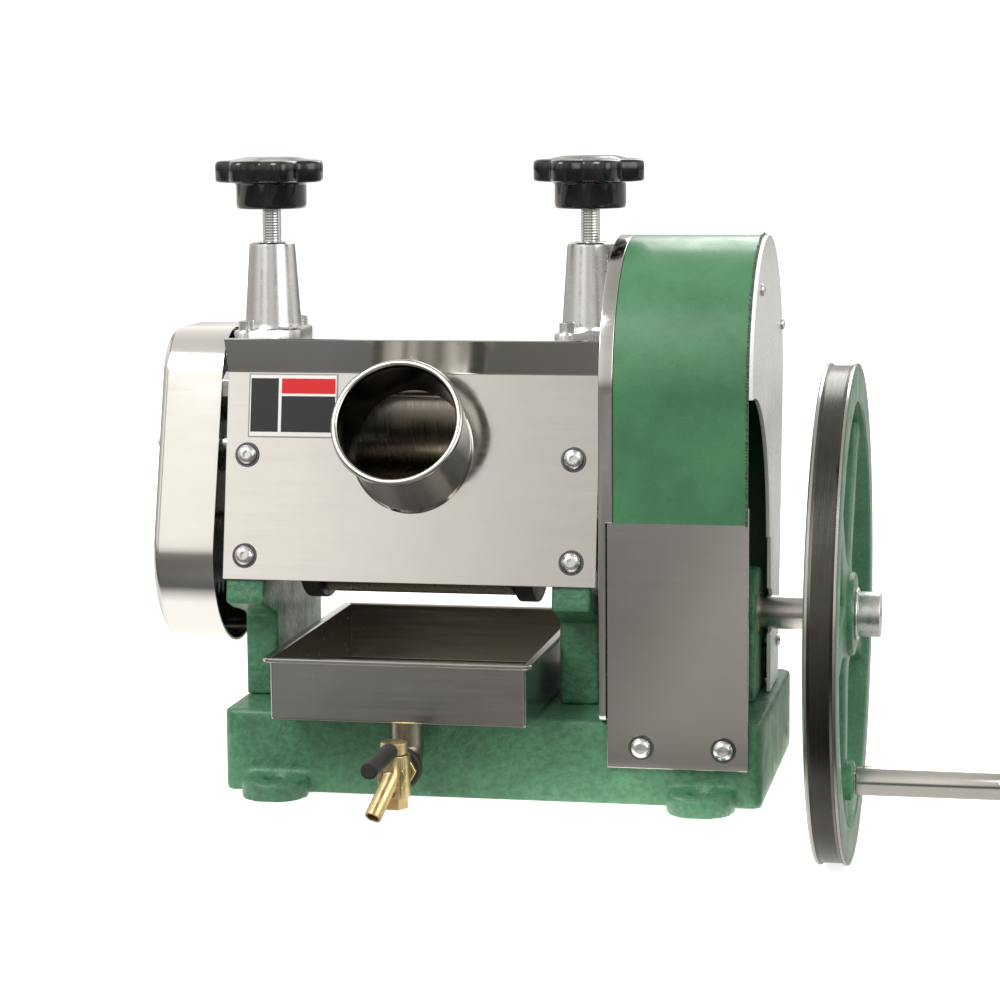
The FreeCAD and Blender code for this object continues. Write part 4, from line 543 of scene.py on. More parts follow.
def between(tree, source, low, high):
    """1 where a value lies between two limits, and 0 outside them."""
    return reckon(tree, "MULTIPLY", reckon(tree, "GREATER_THAN", source, low),
                  reckon(tree, "LESS_THAN", source, high))


def paint_shade(material, mask, colour):
    """Darkens a finish where the mask is 1: painted shade in the hollow inside of a part."""
    tree = material.node_tree
    base = tree.nodes["Principled BSDF"].inputs["Base Color"]
    tree.links.new(mixed(tree, mask, base.links[0].from_socket, colour), base)


tree = tube_steel.node_tree
from_mouth = tree.nodes.new("ShaderNodeMapping")
from_mouth.vector_type = "TEXTURE"
from_mouth.inputs["Location"].default_value = TUBE_MOUTH
from_mouth.inputs["Rotation"].default_value = (-TUBE_TILT, 0, 0)
tree.links.new(tree.nodes.new("ShaderNodeTexCoord").outputs["Object"], from_mouth.inputs["Vector"])
off_axis, distance = tree.nodes.new("ShaderNodeVectorMath"), tree.nodes.new("ShaderNodeVectorMath")
off_axis.operation, distance.operation = "MULTIPLY", "LENGTH"
off_axis.inputs[1].default_value = (1, 0, 1)
tree.links.new(from_mouth.outputs["Vector"], off_axis.inputs[0])
tree.links.new(off_axis.outputs["Vector"], distance.inputs[0])
# Painted shade: the inside of the tube is darkened, standing in for the shade down its bore.
paint_shade(tube_steel, between(tree, distance.outputs["Value"], -1, TUBE_RADIUS - TUBE_WALL / 2),
      (0.045, 0.040, 0.032))


def reach_to_plate(spot, behind):
    """Distance along the tube from a point at its mouth to the plate, or past it."""
    plate_y = PLATE_FOOT[0] + behind + (spot.z - PLATE_FOOT[1]) * plate_slope
    return (plate_y - spot.y) / (tube_axis.y - tube_axis.z * plate_slope)


form = bmesh.new()
rings = []
tube_up = RIGHT.cross(tube_axis)
stations = [("mouth", TUBE_RADIUS - TUBE_WALL, 0.003)] + [
    ("mouth", TUBE_RADIUS + BEAD / 2 + BEAD * math.cos(math.radians(turn)), BEAD * math.sin(math.radians(turn)))
    for turn in (-175, -150, -120, -90, -60, -30, 0, 30, 60, 90, 115)
]
stations += [
    ("mouth", TUBE_RADIUS, 0.0045), ("plate", TUBE_RADIUS, -0.0028), ("plate", TUBE_RADIUS + 0.0004, -0.0014),
    ("plate", TUBE_RADIUS + WELD, -0.0004), ("plate", TUBE_RADIUS + WELD, 0.0002),
    ("plate", TUBE_RADIUS, 0.0008), ("tail", TUBE_RADIUS, 0), ("tail", TUBE_RADIUS - TUBE_WALL, 0),
]
for kind, radius, along in stations:
    ring = []
    for step in range(TUBE_STEPS):
        turn = step * math.tau / TUBE_STEPS
        spot = TUBE_MOUTH + RIGHT * radius * math.cos(turn) + tube_up * radius * math.sin(turn)
        behind = {"mouth": 0, "plate": 0, "tail": PLATE_THICKNESS + TAIL}[kind]
        reach = along if kind == "mouth" else reach_to_plate(spot, behind) + along
        ring.append(spot + tube_axis * reach)
    rings.append(ring)
stacked(form, rings, loop=True)
bmesh.ops.recalc_face_normals(form, faces=form.faces)
fit(piece_from("feed_tube_rolled", form, 50), "frame", "stainless_sheet", tube_steel, "feed_tube")

# --- Label plate ----------------------------------------------------------------------------
# Thin enamelled plate stuck flat on the feed plate: white, with a plain red band over two
# plain black fields. It carries no words.
label_low, label_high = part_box("label_plate")
label_paint, tree, shader = finish_nodes("White label with a red band", (0.86, 0.86, 0.84), 0.3)
BORDER = 0.0009


def inside(tree, **ranges):
    """1 inside a box of ranges along the piece's own axes, and 0 outside it."""
    split = tree.nodes.new("ShaderNodeSeparateXYZ")
    tree.links.new(tree.nodes.new("ShaderNodeTexCoord").outputs["Object"], split.inputs["Vector"])
    mask = 1.0
    for axis, (low, high) in ranges.items():
        mask = reckon(tree, "MULTIPLY", mask, between(tree, split.outputs[axis], low, high))
    return mask


inner = inside(tree, X=(label_low.x + BORDER, label_high.x - BORDER),
               Z=(label_low.z + BORDER, label_high.z - BORDER))
layers = mixed(tree, inner, (0.30, 0.30, 0.30), (0.88, 0.88, 0.86))
for left, right, down, bottom, colour in (
    (0.0015, 0.0195, 0.0030, 0.0365, (0.014, 0.014, 0.014)),
    (0.0215, 0.0565, 0.0140, 0.0365, (0.014, 0.014, 0.014)),
    (0.0215, 0.0565, 0.0030, 0.0125, (0.68, 0.012, 0.012)),
):
    block = inside(tree, X=(label_low.x + left, label_low.x + right),
                   Z=(label_high.z - bottom, label_high.z - down))
    layers = mixed(tree, block, layers, colour)
tree.links.new(layers, shader.inputs["Base Color"])
scuffs = pattern(tree, "ShaderNodeTexNoise", 500, Detail=4)
tree.links.new(shade(tree, scuffs, [(0.4, 0.28), (0.75, 0.33)]), shader.inputs["Roughness"])
machined("label_enamelled", "label_plate", "frame", "white_label", label_paint, 0.00015)


# --- Screws ---------------------------------------------------------------------------------
# Zinc plated button and socket head screws, and the hexagon bolts under the deck. One tree
# sets the same head at every place, turned to face the way that the place says.
def head_form(name, profile, radius, floor, top):
    """A screw head from its profile, with a hexagon socket of that radius from floor to top."""
    head = turned(name, profile, (0, 0, 0), UP, 40)
    key = turned("key", [(floor, 0), (floor, radius), (top, radius), (top, 0)], (0, 0, 0), UP, 6)
    cut = head.modifiers.new("Socket", "BOOLEAN")
    cut.operation, cut.object, cut.solver = "DIFFERENCE", key, "EXACT"
    settle(head)
    bpy.data.objects.remove(key)
    head.data.shade_smooth()
    head.data.set_sharp_from_angle(angle=math.radians(38))
    return head


def geometry_tree(name, inputs, output):
    """Starts a Geometry Nodes tree: its named inputs by kind, and its one output."""
    tree = bpy.data.node_groups.new(name, "GeometryNodeTree")
    for label, kind in inputs:
        tree.interface.new_socket(label, in_out="INPUT", socket_type="NodeSocket" + kind)
    tree.interface.new_socket(output, in_out="OUTPUT", socket_type="NodeSocketGeometry")
    start, end = tree.nodes.new("NodeGroupInput"), tree.nodes.new("NodeGroupOutput")
    return tree, start.outputs, end.inputs[output]


def wire(tree, links, last, finish, end):
    """Links a tree, and ends it with real meshes in their finish."""
    real = tree.nodes.new("GeometryNodeRealizeInstances")
    coat = tree.nodes.new("GeometryNodeSetMaterial")
    for source, target in (
        *links, (last, real.inputs["Geometry"]), (real.outputs["Geometry"], coat.inputs["Geometry"]),
        (finish, coat.inputs["Material"]), (coat.outputs["Geometry"], end),
    ):
        tree.links.new(source, target)


def seedling(name, points, lines=()):
    """A piece of bare points or lines for a tree to grow on."""
    mesh = bpy.data.meshes.new(name)
    mesh.from_pydata(points, lines, [])
    piece = bpy.data.objects.new(name, mesh)
    bpy.context.scene.collection.objects.link(piece)
    return piece


def grow(piece, tree, values):
    """Runs a tree on the piece with those values for its named inputs, and keeps its mesh."""
    modifier = piece.modifiers.new(tree.name, "NODES")
    modifier.node_group = tree
    sockets = {item.name: item.identifier for item in tree.interface.items_tree}
    for label, value in values.items():
        modifier[sockets[label]] = value
    settle(piece)


screw_tree, start, end = geometry_tree("Screws at places", (
    ("Places", "Geometry"), ("Head", "Object"), ("Size", "Float"), ("Finish", "Material")), "Screws")
head = screw_tree.nodes.new("GeometryNodeObjectInfo")
facing = screw_tree.nodes.new("GeometryNodeInputNamedAttribute")
facing.data_type = "FLOAT_VECTOR"
facing.inputs["Name"].default_value = "facing"
turn = screw_tree.nodes.new("FunctionNodeAlignRotationToVector")
turn.axis = "Z"
place = screw_tree.nodes.new("GeometryNodeInstanceOnPoints")
wire(screw_tree, (
    (start["Places"], place.inputs["Points"]),
    (start["Head"], head.inputs["Object"]),
    (head.outputs["Geometry"], place.inputs["Instance"]),
    (facing.outputs["Attribute"], turn.inputs["Vector"]),
    (turn.outputs["Rotation"], place.inputs["Rotation"]),
    (start["Size"], place.inputs["Scale"]),
), place.outputs["Instances"], start["Finish"], end)


def set_screws(name, head, places, size, finish, slot, *replaced):
    """Sets one kind of head at (place, direction) pairs and makes it a plain mesh."""
    piece = seedling(name, [tuple(place) for place, facing in places])
    directions = piece.data.attributes.new("facing", "FLOAT_VECTOR", "POINT")
    directions.data.foreach_set("vector", [value for place, facing in places for value in facing])
    grow(piece, screw_tree, {"Head": head, "Size": size, "Finish": finish})
    fit(piece, "frame", slot, finish, *replaced)


button_head = head_form("button head", [
    (-0.6, 0), (-0.6, 1.0), (0.1, 1.0), (0.1, 1.52), (0.14, 1.58), (0.3, 1.57), (0.52, 1.46), (0.76, 1.22),
    (0.92, 0.94), (0.96, 0.8), (0.96, 0),
], 0.62, 0.36, 1.2)
# Dark washers under the plate and panel screws: painted shade, a dark ring round each screw head.
washer = turned("washer", [
    (0, 1.05), (0, 1.92), (0.1, 1.98), (0.2, 1.92), (0.2, 1.66), (0.12, 1.58), (0.12, 1.05),
], (0, 0, 0), UP, 40, loop=True)
plate_lean = math.atan(plate_slope)
plate_out = Vector((0, -math.cos(plate_lean), math.sin(plate_lean)))
PLATE_SCREW_RISE, PLATE_SCREW = (0.015, 0.078), 0.004
plate_places = [
    (Vector((middle, PLATE_FOOT[0] + rise * plate_slope, PLATE_FOOT[1] + rise)), plate_out)
    for middle in frame_middles for rise in PLATE_SCREW_RISE
]
panel_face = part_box("guard_front_panel")[0].y
PANEL_SCREW_X, PANEL_SCREW_Z = (0.0965, 0.147), 0.037
plate_places += [(Vector((x, panel_face, PANEL_SCREW_Z)), -BACK) for x in PANEL_SCREW_X]
set_screws("plate_screw_heads", button_head, plate_places, PLATE_SCREW, zinc_plate, "zinc_plated",
           "button_screws")
# Painted shade: the washers take the dark iron finish to stand for the shade round each head.
set_screws("plate_screw_washers", washer, plate_places, PLATE_SCREW, gear_iron, "gear_iron")
bpy.data.objects.remove(washer)

cover_face, guard_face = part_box("left_gear_cover")[0].x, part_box("guard_outer_cheek")[1].x
LEFT_COVER_SCREWS = ((-0.045, 0.215), (0.022, 0.121), (0.054, 0.24))
GUARD_SCREWS = ((-0.055, 0.315), (0.07, 0.285), (0.05108, 0.07885))
end_places = [(Vector((cover_face, y, z)), -RIGHT) for y, z in LEFT_COVER_SCREWS]
end_places += [(Vector((guard_face, y, z)), RIGHT) for y, z in GUARD_SCREWS]
set_screws("cover_screw_heads", button_head, end_places, 0.0025, zinc_plate, "zinc_plated", "cover_screws")

cap_head = head_form("cap head", [
    (-0.6, 0), (-0.6, 1.0), (0, 1.0), (0, 1.6), (0.06, 1.66), (1.85, 1.66), (1.98, 1.55), (2.0, 1.45), (2.0, 0),
], 1.0, 0.9, 2.2)
flange_places = [
    (Vector((middle + sign * EAR_ACROSS, top_axis_y + sign * EAR_ALONG, FLANGE_TOP)), UP)
    for middle in frame_middles for sign in (-1, 1)
]
set_screws("flange_screw_heads", cap_head, flange_places, 0.003, zinc_plate, "zinc_plated", "housing_screws")
bpy.data.objects.remove(button_head)
bpy.data.objects.remove(cap_head)
machined("deck_bolts", "frame_bolts", "frame", "zinc_plated", zinc_plate)

# --- Left gear cover ------------------------------------------------------------------------
# A deep cap of polished stainless sheet over the three end gears, drawn with a soft edge and
# screwed to three posts on the side frame.
LEFT_COVER = ((-0.013, 0.142, 0.060), (0.0564715, 0.1934629, 0.03805), (0.02998, 0.25102, 0.036),
              (-0.008619, 0.25102, 0.036))
COVER_SHEET, DRAW_RADIUS = 0.0015, 0.005


def drawn_cap(name, circles, open_x, face_x, sheet, radius):
    """A cap with a rounded edge between its wall and its face, and its sheet's thickness."""
    form = bmesh.new()
    toward = 1 if face_x > open_x else -1
    outer, inner = [(open_x, 0)], [(open_x, sheet)]
    for step in range(9):
        turn = step / 8 * math.pi / 2
        outer.append((face_x - toward * radius * (1 - math.sin(turn)), radius * (1 - math.cos(turn))))
        inner.append((face_x - toward * (radius - (radius - sheet) * math.sin(turn)),
                      radius - (radius - sheet) * math.cos(turn)))
    rings = [[(x, y, z) for y, z in belt_outline(circles, inset, 240)] for x, inset in inner[::-1] + outer]
    stacked(form, rings)
    bmesh.ops.recalc_face_normals(form, faces=form.faces)
    return piece_from(name, form)


cover = drawn_cap("left_cover_drawn", LEFT_COVER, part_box("left_gear_cover")[1].x, cover_face,
                  COVER_SHEET, DRAW_RADIUS)
fit(cover, "frame", "stainless_sheet", polished_sheet, "left_gear_cover")

# --- Gear guard -----------------------------------------------------------------------------
# Over the drive gears on the right: a dished stainless cheek, a band of green enamelled sheet
# bent round it, a stainless front panel and a white outer cheek, cut away at its lower front.
GUARD = ((-0.095, 0.0575, 0.005), (0.054284, 0.0605, 0.008), (-0.0075, 0.254, 0.0925))
BAND_SHEET = 0.0016
green_sheet = enamel("Green enamel on sheet steel", (0.058, 0.205, 0.094), 0.34, 900, 0.00004)
white_enamel = enamel("White enamel", (0.86, 0.86, 0.85), 0.3, 800, 0.00002, fleck=0.02, cloudy=0.03)
band_low, band_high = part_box("guard_band")
front_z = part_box("guard_front_panel")[1].z - 0.01
band_path = [Vector(point) for point in belt_outline(GUARD, 0, 240)]
band_path = band_path[181:] + band_path[:121] + [Vector((band_low.y, front_z))]
band = folded_sheet("guard_band_bent", band_path, BAND_SHEET, band_low.x, band_high.x)
settle(band)
fit(band, "frame", "green_sheet", green_sheet, "guard_band")
bead_tree, start, end = geometry_tree("Weld lumps along an edge", (
    ("Edge", "Geometry"), ("Spacing", "Float"), ("Lump", "Float"), ("Seed", "Int"),
    ("Finish", "Material")), "Bead")
seam = bead_tree.nodes.new("GeometryNodeMeshToCurve")
spread = bead_tree.nodes.new("GeometryNodeResampleCurve")
spread.mode = "LENGTH"
lump = bead_tree.nodes.new("GeometryNodeMeshIcoSphere")
lump.inputs["Subdivisions"].default_value = 2
stretch = bead_tree.nodes.new("FunctionNodeRandomValue")
stretch.data_type = "FLOAT_VECTOR"
stretch.inputs[0].default_value, stretch.inputs[1].default_value = (0.25, 0.35, 0.35), (0.75, 1.25, 1.9)
laid = bead_tree.nodes.new("GeometryNodeInstanceOnPoints")
wire(bead_tree, (
    (start["Edge"], seam.inputs["Mesh"]),
    (seam.outputs["Curve"], spread.inputs["Curve"]),
    (start["Spacing"], spread.inputs["Length"]),
    (spread.outputs["Curve"], laid.inputs["Points"]),
    (start["Lump"], lump.inputs["Radius"]),
    (lump.outputs["Mesh"], laid.inputs["Instance"]),
    (start["Seed"], stretch.inputs["Seed"]),
    (stretch.outputs[0], laid.inputs["Scale"]),
), laid.outputs["Instances"], start["Finish"], end)
weld = seedling("guard_weld", [(band_high.x - 0.0008, y, z) for y, z in band_path],
                [(index, index + 1) for index in range(len(band_path) - 1)])
grow(weld, bead_tree, {"Spacing": 0.0021, "Lump": 0.0011, "Seed": 4, "Finish": gear_iron})
fit(weld, "frame", "gear_iron", gear_iron)
machined("guard_cheek_dished", "guard_inner_cheek", "frame", "stainless_sheet", polished_sheet, 0.0007)
machined("guard_panel_folded", "guard_front_panel", "frame", "stainless_sheet", polished_sheet, 0.0006)
machined("guard_cheek_flat", "guard_outer_cheek", "frame", "white_enamel", white_enamel, 0.0003)

# --- Handwheel ------------------------------------------------------------------------------
# An iron wheel of five tapered spokes, cast in one piece and enamelled green, with a shallow
# belt groove turned bare round its rim. A washer and a socket screw hold it on its key.
wheel_low, wheel_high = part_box("handwheel")
wheel_radius = (wheel_high.z - wheel_low.z) / 2
wheel_centre = Vector((wheel_high.x, (wheel_low.y + wheel_high.y) / 2, (wheel_low.z + wheel_high.z) / 2))
RIM_WIDTH, RIM_DEPTH, RIM_EDGE, GROOVE_WIDTH, GROOVE_DEPTH = 0.020, 0.024, 0.0012, 0.015, 0.003
HUB_RADIUS_WHEEL, HUB_BACK, SHAFT_RADIUS, CRANK, BOSS_RADIUS = 0.027, 0.009, 0.011, 0.1085, 0.013
SPOKES, SPOKE_ROOT, SPOKE_TIP, SPOKE_THICKNESS, SPOKE_START = 5, 0.026, 0.015, 0.010, 0.020
FLARE, FLARE_WIDTH, FLARE_THICKNESS, FLARE_LIMIT, SPOKE_RINGS, SPOKE_CORNERS = 0.006, 0.013, 0.003, 1.2, 24, 32
green_wheel = enamel("Green enamel on the wheel", GREEN, 0.34, 380, 0.0004, coat=0.2, fleck=0.15)
track_iron = metal("Worn iron in the groove", (0.11, 0.108, 0.098), 0.24, 1500, 0.00002, (1, 0.02, 0.02),
                   blotch=0.3)


def groove(along):
    """Depth of the belt groove at a place across the rim."""
    share = (along - RIM_WIDTH / 2) / (GROOVE_WIDTH / 2)
    return GROOVE_DEPTH * max(0, 1 - share * share)


inner_radius = wheel_radius - RIM_DEPTH
across = [RIM_WIDTH / 2 + GROOVE_WIDTH / 2 * step / 8 for step in range(-8, 9)]
track = [(along, wheel_radius - groove(along)) for along in across]
rim = turned("rim", [
    (RIM_EDGE, inner_radius), (0, inner_radius + RIM_EDGE), (0, wheel_radius - RIM_EDGE),
    (RIM_EDGE * 0.3, wheel_radius - RIM_EDGE * 0.3), (RIM_EDGE, wheel_radius),
    *[(along, radius - 0.0003) for along, radius in track], (RIM_WIDTH - RIM_EDGE, wheel_radius),
    (RIM_WIDTH - RIM_EDGE * 0.3, wheel_radius - RIM_EDGE * 0.3), (RIM_WIDTH, wheel_radius - RIM_EDGE),
    (RIM_WIDTH, inner_radius + RIM_EDGE), (RIM_WIDTH - RIM_EDGE, inner_radius),
    (RIM_WIDTH / 2, inner_radius - RIM_EDGE),
], wheel_centre - RIGHT * RIM_WIDTH, RIGHT, 192, loop=True)
hub_length = RIM_WIDTH + HUB_BACK
hub = turned("hub", [
    (0, SHAFT_RADIUS), (0, HUB_RADIUS_WHEEL - 0.002), (0.0006, HUB_RADIUS_WHEEL - 0.0006),
    (0.002, HUB_RADIUS_WHEEL), (hub_length - 0.002, HUB_RADIUS_WHEEL),
    (hub_length - 0.0006, HUB_RADIUS_WHEEL - 0.0006), (hub_length, HUB_RADIUS_WHEEL - 0.002),
    (hub_length, SHAFT_RADIUS),
], wheel_centre - RIGHT * hub_length, RIGHT, 96, loop=True)
boss_at = wheel_centre - RIGHT * RIM_WIDTH - UP * CRANK
boss = turned("boss", [
    (0, 0.005), (0, BOSS_RADIUS - 0.0015), (0.0015, BOSS_RADIUS), (RIM_WIDTH - 0.0015, BOSS_RADIUS),
    (RIM_WIDTH, BOSS_RADIUS - 0.0015), (RIM_WIDTH, 0.005),
], boss_at, RIGHT, 64, loop=True)
wheel_round = join("handwheel_cast", [rim, hub, boss])

form = bmesh.new()
spoke_rings = []
for step in range(SPOKE_RINGS + 1):
    along = SPOKE_START + (inner_radius + 0.002 - SPOKE_START) * step / SPOKE_RINGS
    share = (along - HUB_RADIUS_WHEEL) / (inner_radius - HUB_RADIUS_WHEEL)
    flare = math.exp(-(along - HUB_RADIUS_WHEEL) / FLARE) + math.exp(-(inner_radius - along) / FLARE)
    width = SPOKE_ROOT + (SPOKE_TIP - SPOKE_ROOT) * share + FLARE_WIDTH * min(flare, FLARE_LIMIT)
    thick = SPOKE_THICKNESS + FLARE_THICKNESS * min(flare, FLARE_LIMIT)
    ring = []
    for corner in range(SPOKE_CORNERS):
        turn = corner * math.tau / SPOKE_CORNERS
        x, z = math.cos(turn), math.sin(turn)
        ring.append((math.copysign(abs(x) ** 0.45, x) * thick / 2 - RIM_WIDTH / 2, along,
                     math.copysign(abs(z) ** 0.6, z) * width / 2))
    spoke_rings.append(ring)
stacked(form, spoke_rings)
bmesh.ops.recalc_face_normals(form, faces=form.faces)
spoke = piece_from("spoke", form, 70)

tree, start, end = geometry_tree("Spokes round a hub", (
    ("Rim and hub", "Geometry"), ("Spoke", "Object"), ("Spokes", "Int"), ("Centre", "Vector"),
    ("First spoke", "Float"), ("Finish", "Material")), "Wheel")
count = tree.nodes.new("GeometryNodePoints")
picked = tree.nodes.new("GeometryNodeObjectInfo")
index = tree.nodes.new("GeometryNodeInputIndex")
turn_by = reckon(tree, "MULTIPLY", index.outputs["Index"], reckon(tree, "DIVIDE", math.tau, start["Spokes"]))
rotation = tree.nodes.new("ShaderNodeCombineXYZ")
placed = tree.nodes.new("GeometryNodeInstanceOnPoints")
with_rim = tree.nodes.new("GeometryNodeJoinGeometry")
wire(tree, (
    (start["Spokes"], count.inputs["Count"]),
    (start["Centre"], count.inputs["Position"]),
    (start["Spoke"], picked.inputs["Object"]),
    (reckon(tree, "ADD", turn_by, start["First spoke"]), rotation.inputs["X"]),
    (count.outputs[0], placed.inputs["Points"]),
    (picked.outputs["Geometry"], placed.inputs["Instance"]),
    (rotation.outputs["Vector"], placed.inputs["Rotation"]),
    (placed.outputs["Instances"], with_rim.inputs["Geometry"]),
    (start["Rim and hub"], with_rim.inputs["Geometry"]),
), with_rim.outputs["Geometry"], start["Finish"], end)
grow(wheel_round, tree, {"Spoke": spoke, "Spokes": SPOKES, "Centre": tuple(wheel_centre),
                         "First spoke": math.radians(-90), "Finish": green_wheel})
bpy.data.objects.remove(spoke)
fit(wheel_round, "wheel", "green_casting", green_wheel, "handwheel")

track_ring = turned("handwheel_track", [
    *track, (across[-1], track[-1][1] - 0.0012), (across[0], track[0][1] - 0.0012),
], wheel_centre - RIGHT * RIM_WIDTH, RIGHT, 192, loop=True)
fit(track_ring, "wheel", "gear_iron", track_iron)
LAND = (RIM_WIDTH - GROOVE_WIDTH) / 2 - 0.0006
lands = [
    turned("land", [(0, wheel_radius - 0.0015), (0, wheel_radius - 0.0003), (0.0004, wheel_radius + 0.0002),
                    (LAND, wheel_radius + 0.0002), (LAND, wheel_radius - 0.0015)],
           wheel_centre - RIGHT * (RIM_WIDTH - along), RIGHT, 192, loop=True)
    for along in (RIM_WIDTH / 2 - GROOVE_WIDTH / 2 - LAND, RIM_WIDTH / 2 + GROOVE_WIDTH / 2)
]
fit(join("handwheel_lands", lands), "wheel", "stainless_bar", turned_steel)

for name, node, slot, finish in (
    ("axle_turned", "wheel_shaft", "stainless_bar", turned_steel),
    ("axle_washer", "hub_washer", "zinc_plated", zinc_plate),
    ("axle_screw", "hub_screw", "zinc_plated", zinc_plate),
    ("crank_spindle", "handle_spindle", "zinc_plated", zinc_plate),
    ("crank_nut", "spindle_nut", "zinc_plated", zinc_plate),
):
    machined(name, node, "wheel", slot, finish, 0.0006)
nodes["wheel_key"].data.materials.clear()
nodes["wheel_key"].data.materials.append(spring_steel)

# --- Crank handle ---------------------------------------------------------------------------
# A polished stainless tube that turns on the spindle, with its end open and its rim rounded.
grip_low, grip_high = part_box("handle_grip")
GRIP_RADIUS, GRIP_WALL, GRIP_BORE, GRIP_RECESS = 0.0095, 0.002, 0.00505, 0.009
length = grip_high.x - grip_low.x
grip = turned("crank_grip", [
    (0, GRIP_BORE), (0, GRIP_RADIUS - 0.0007), (0.0007, GRIP_RADIUS), (length - 0.001, GRIP_RADIUS),
    (length - 0.0003, GRIP_RADIUS - 0.0003), (length, GRIP_RADIUS - 0.001),
    (length - 0.0003, GRIP_RADIUS - 0.0017), (length - 0.001, GRIP_RADIUS - GRIP_WALL),
    (length - GRIP_RECESS, GRIP_RADIUS - GRIP_WALL), (length - GRIP_RECESS, GRIP_BORE),
], (grip_low.x, (grip_low.y + grip_high.y) / 2, (grip_low.z + grip_high.z) / 2), RIGHT, 96, loop=True)
grip_steel = metal("Polished stainless tube", (0.66, 0.65, 0.62), 0.16, 900, 0.00001, (1, 0.03, 0.03), 0.05)
fit(grip, "grip", "stainless_bar", grip_steel, "handle_grip")

# --- Juice tray -----------------------------------------------------------------------------
# A pan of stainless sheet with its rim folded out all round. It slides forward on two rails.
tray_low, tray_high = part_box("juice_tray")
RIM_REACH, RIM_HEIGHT, TRAY_SHEET, TRAY_CORNER = 0.0045, 0.0025, 0.0015, 0.002
PIPE_AT, PIPE_RADIUS, PIPE_WALL = (-0.048, -0.109), 0.0103, 0.002
x_low, x_high = tray_low.x + RIM_REACH + TRAY_CORNER, tray_high.x - RIM_REACH - TRAY_CORNER
y_low, y_high = tray_low.y + RIM_REACH + TRAY_CORNER, tray_high.y - RIM_REACH - TRAY_CORNER
corners = [(x, y, TRAY_CORNER) for x in (x_low, x_high) for y in (y_low, y_high)]
form = bmesh.new()
stacked(form, [
    [(x, y, z) for x, y in belt_outline(corners, inset, 96)]
    for z, inset in (
        (tray_low.z, 0.0012), (tray_low.z + 0.0004, 0.0004), (tray_low.z + 0.0015, 0),
        (tray_high.z - RIM_HEIGHT - 0.0006, 0), (tray_high.z - RIM_HEIGHT, -0.0008),
        (tray_high.z - RIM_HEIGHT, -RIM_REACH + 0.0004), (tray_high.z - RIM_HEIGHT + 0.0004, -RIM_REACH),
        (tray_high.z - 0.0007, -RIM_REACH), (tray_high.z, -RIM_REACH + 0.0008), (tray_high.z, 0.0004),
        (tray_high.z - 0.0008, 0.0013), (tray_low.z + TRAY_SHEET + 0.001, TRAY_SHEET),
        (tray_low.z + TRAY_SHEET + 0.0003, TRAY_SHEET + 0.0004), (tray_low.z + TRAY_SHEET, TRAY_SHEET + 0.0012),
    )
])
bmesh.ops.recalc_face_normals(form, faces=form.faces)
tray = piece_from("tray_pan", form)
drill = turned("drill", [(0, 0), (0, PIPE_RADIUS - PIPE_WALL), (0.02, PIPE_RADIUS - PIPE_WALL), (0.02, 0)],
               (*PIPE_AT, tray_low.z - 0.01), UP, 64)
drain = tray.modifiers.new("Drain", "BOOLEAN")
drain.operation, drain.object, drain.solver = "DIFFERENCE", drill, "EXACT"
flat_faces(tray)
bpy.data.objects.remove(drill)
tray_steel = metal("Tray sheet, painted shade inside", (0.60, 0.59, 0.56), 0.2, 240, 0.000008, (0.05, 1, 1), 0.08)
wall = RIM_REACH + TRAY_SHEET / 2
# Painted shade: the inside of the tray is darkened, standing in for the shade under the feed plate.
paint_shade(tray_steel, inside(tray_steel.node_tree, X=(tray_low.x + wall, tray_high.x - wall),
                         Y=(tray_low.y + wall, tray_high.y - wall),
                         Z=(tray_low.z + TRAY_SHEET / 2, tray_high.z - 0.0006)), (0.32, 0.305, 0.265))
fit(tray, "tray", "stainless_sheet", tray_steel, "juice_tray")

# --- Outlet and tap -------------------------------------------------------------------------
# A stained steel pipe drops from the tray and turns forward. A black rubber ring and a brass
# nut seal it to a brass plug tap, whose lever has a black sleeve.
brass = metal("Cast brass", (0.80, 0.63, 0.33), 0.34, 180, 0.00005, blotch=0.2)
pipe_steel = metal("Stained steel pipe", (0.42, 0.38, 0.32), 0.3, 300, 0.00003, (1, 1, 0.05), 0.4)
black_rubber = moulded("Black rubber", (0.018, 0.018, 0.018), 0.5, 500, 0.00004)
PIPE_BEND, OUTLET_Z, OUTLET_Y, PIPE_END, BEND_STEPS, PIPE_STEPS = 0.012, 0.0255, -0.121, -0.124, 16, 64
path = [Vector((*PIPE_AT, tray_low.z)), Vector((*PIPE_AT, OUTLET_Z + PIPE_BEND))]
for step in range(1, BEND_STEPS + 1):
    turn = step / BEND_STEPS * math.pi / 2
    path.append(Vector((PIPE_AT[0], OUTLET_Y + PIPE_BEND * math.cos(turn),
                        OUTLET_Z + PIPE_BEND - PIPE_BEND * math.sin(turn))))
path.append(Vector((PIPE_AT[0], PIPE_END, OUTLET_Z)))
form = bmesh.new()
rings = []
for index, point in enumerate(path):
    along = (path[min(index + 1, len(path) - 1)] - path[max(index - 1, 0)]).normalized()
    other = RIGHT.cross(along)
    for radius in (PIPE_RADIUS, PIPE_RADIUS - PIPE_WALL):
        rings.append([point + (RIGHT * math.cos(turn) + other * math.sin(turn)) * radius
                      for turn in (step * math.tau / PIPE_STEPS for step in range(PIPE_STEPS))])
stacked(form, rings[::2] + rings[::-2], loop=True)
bmesh.ops.recalc_face_normals(form, faces=form.faces)
fit(piece_from("outlet_bend", form), "tray", "stainless_bar", pipe_steel, "outlet_pipe")

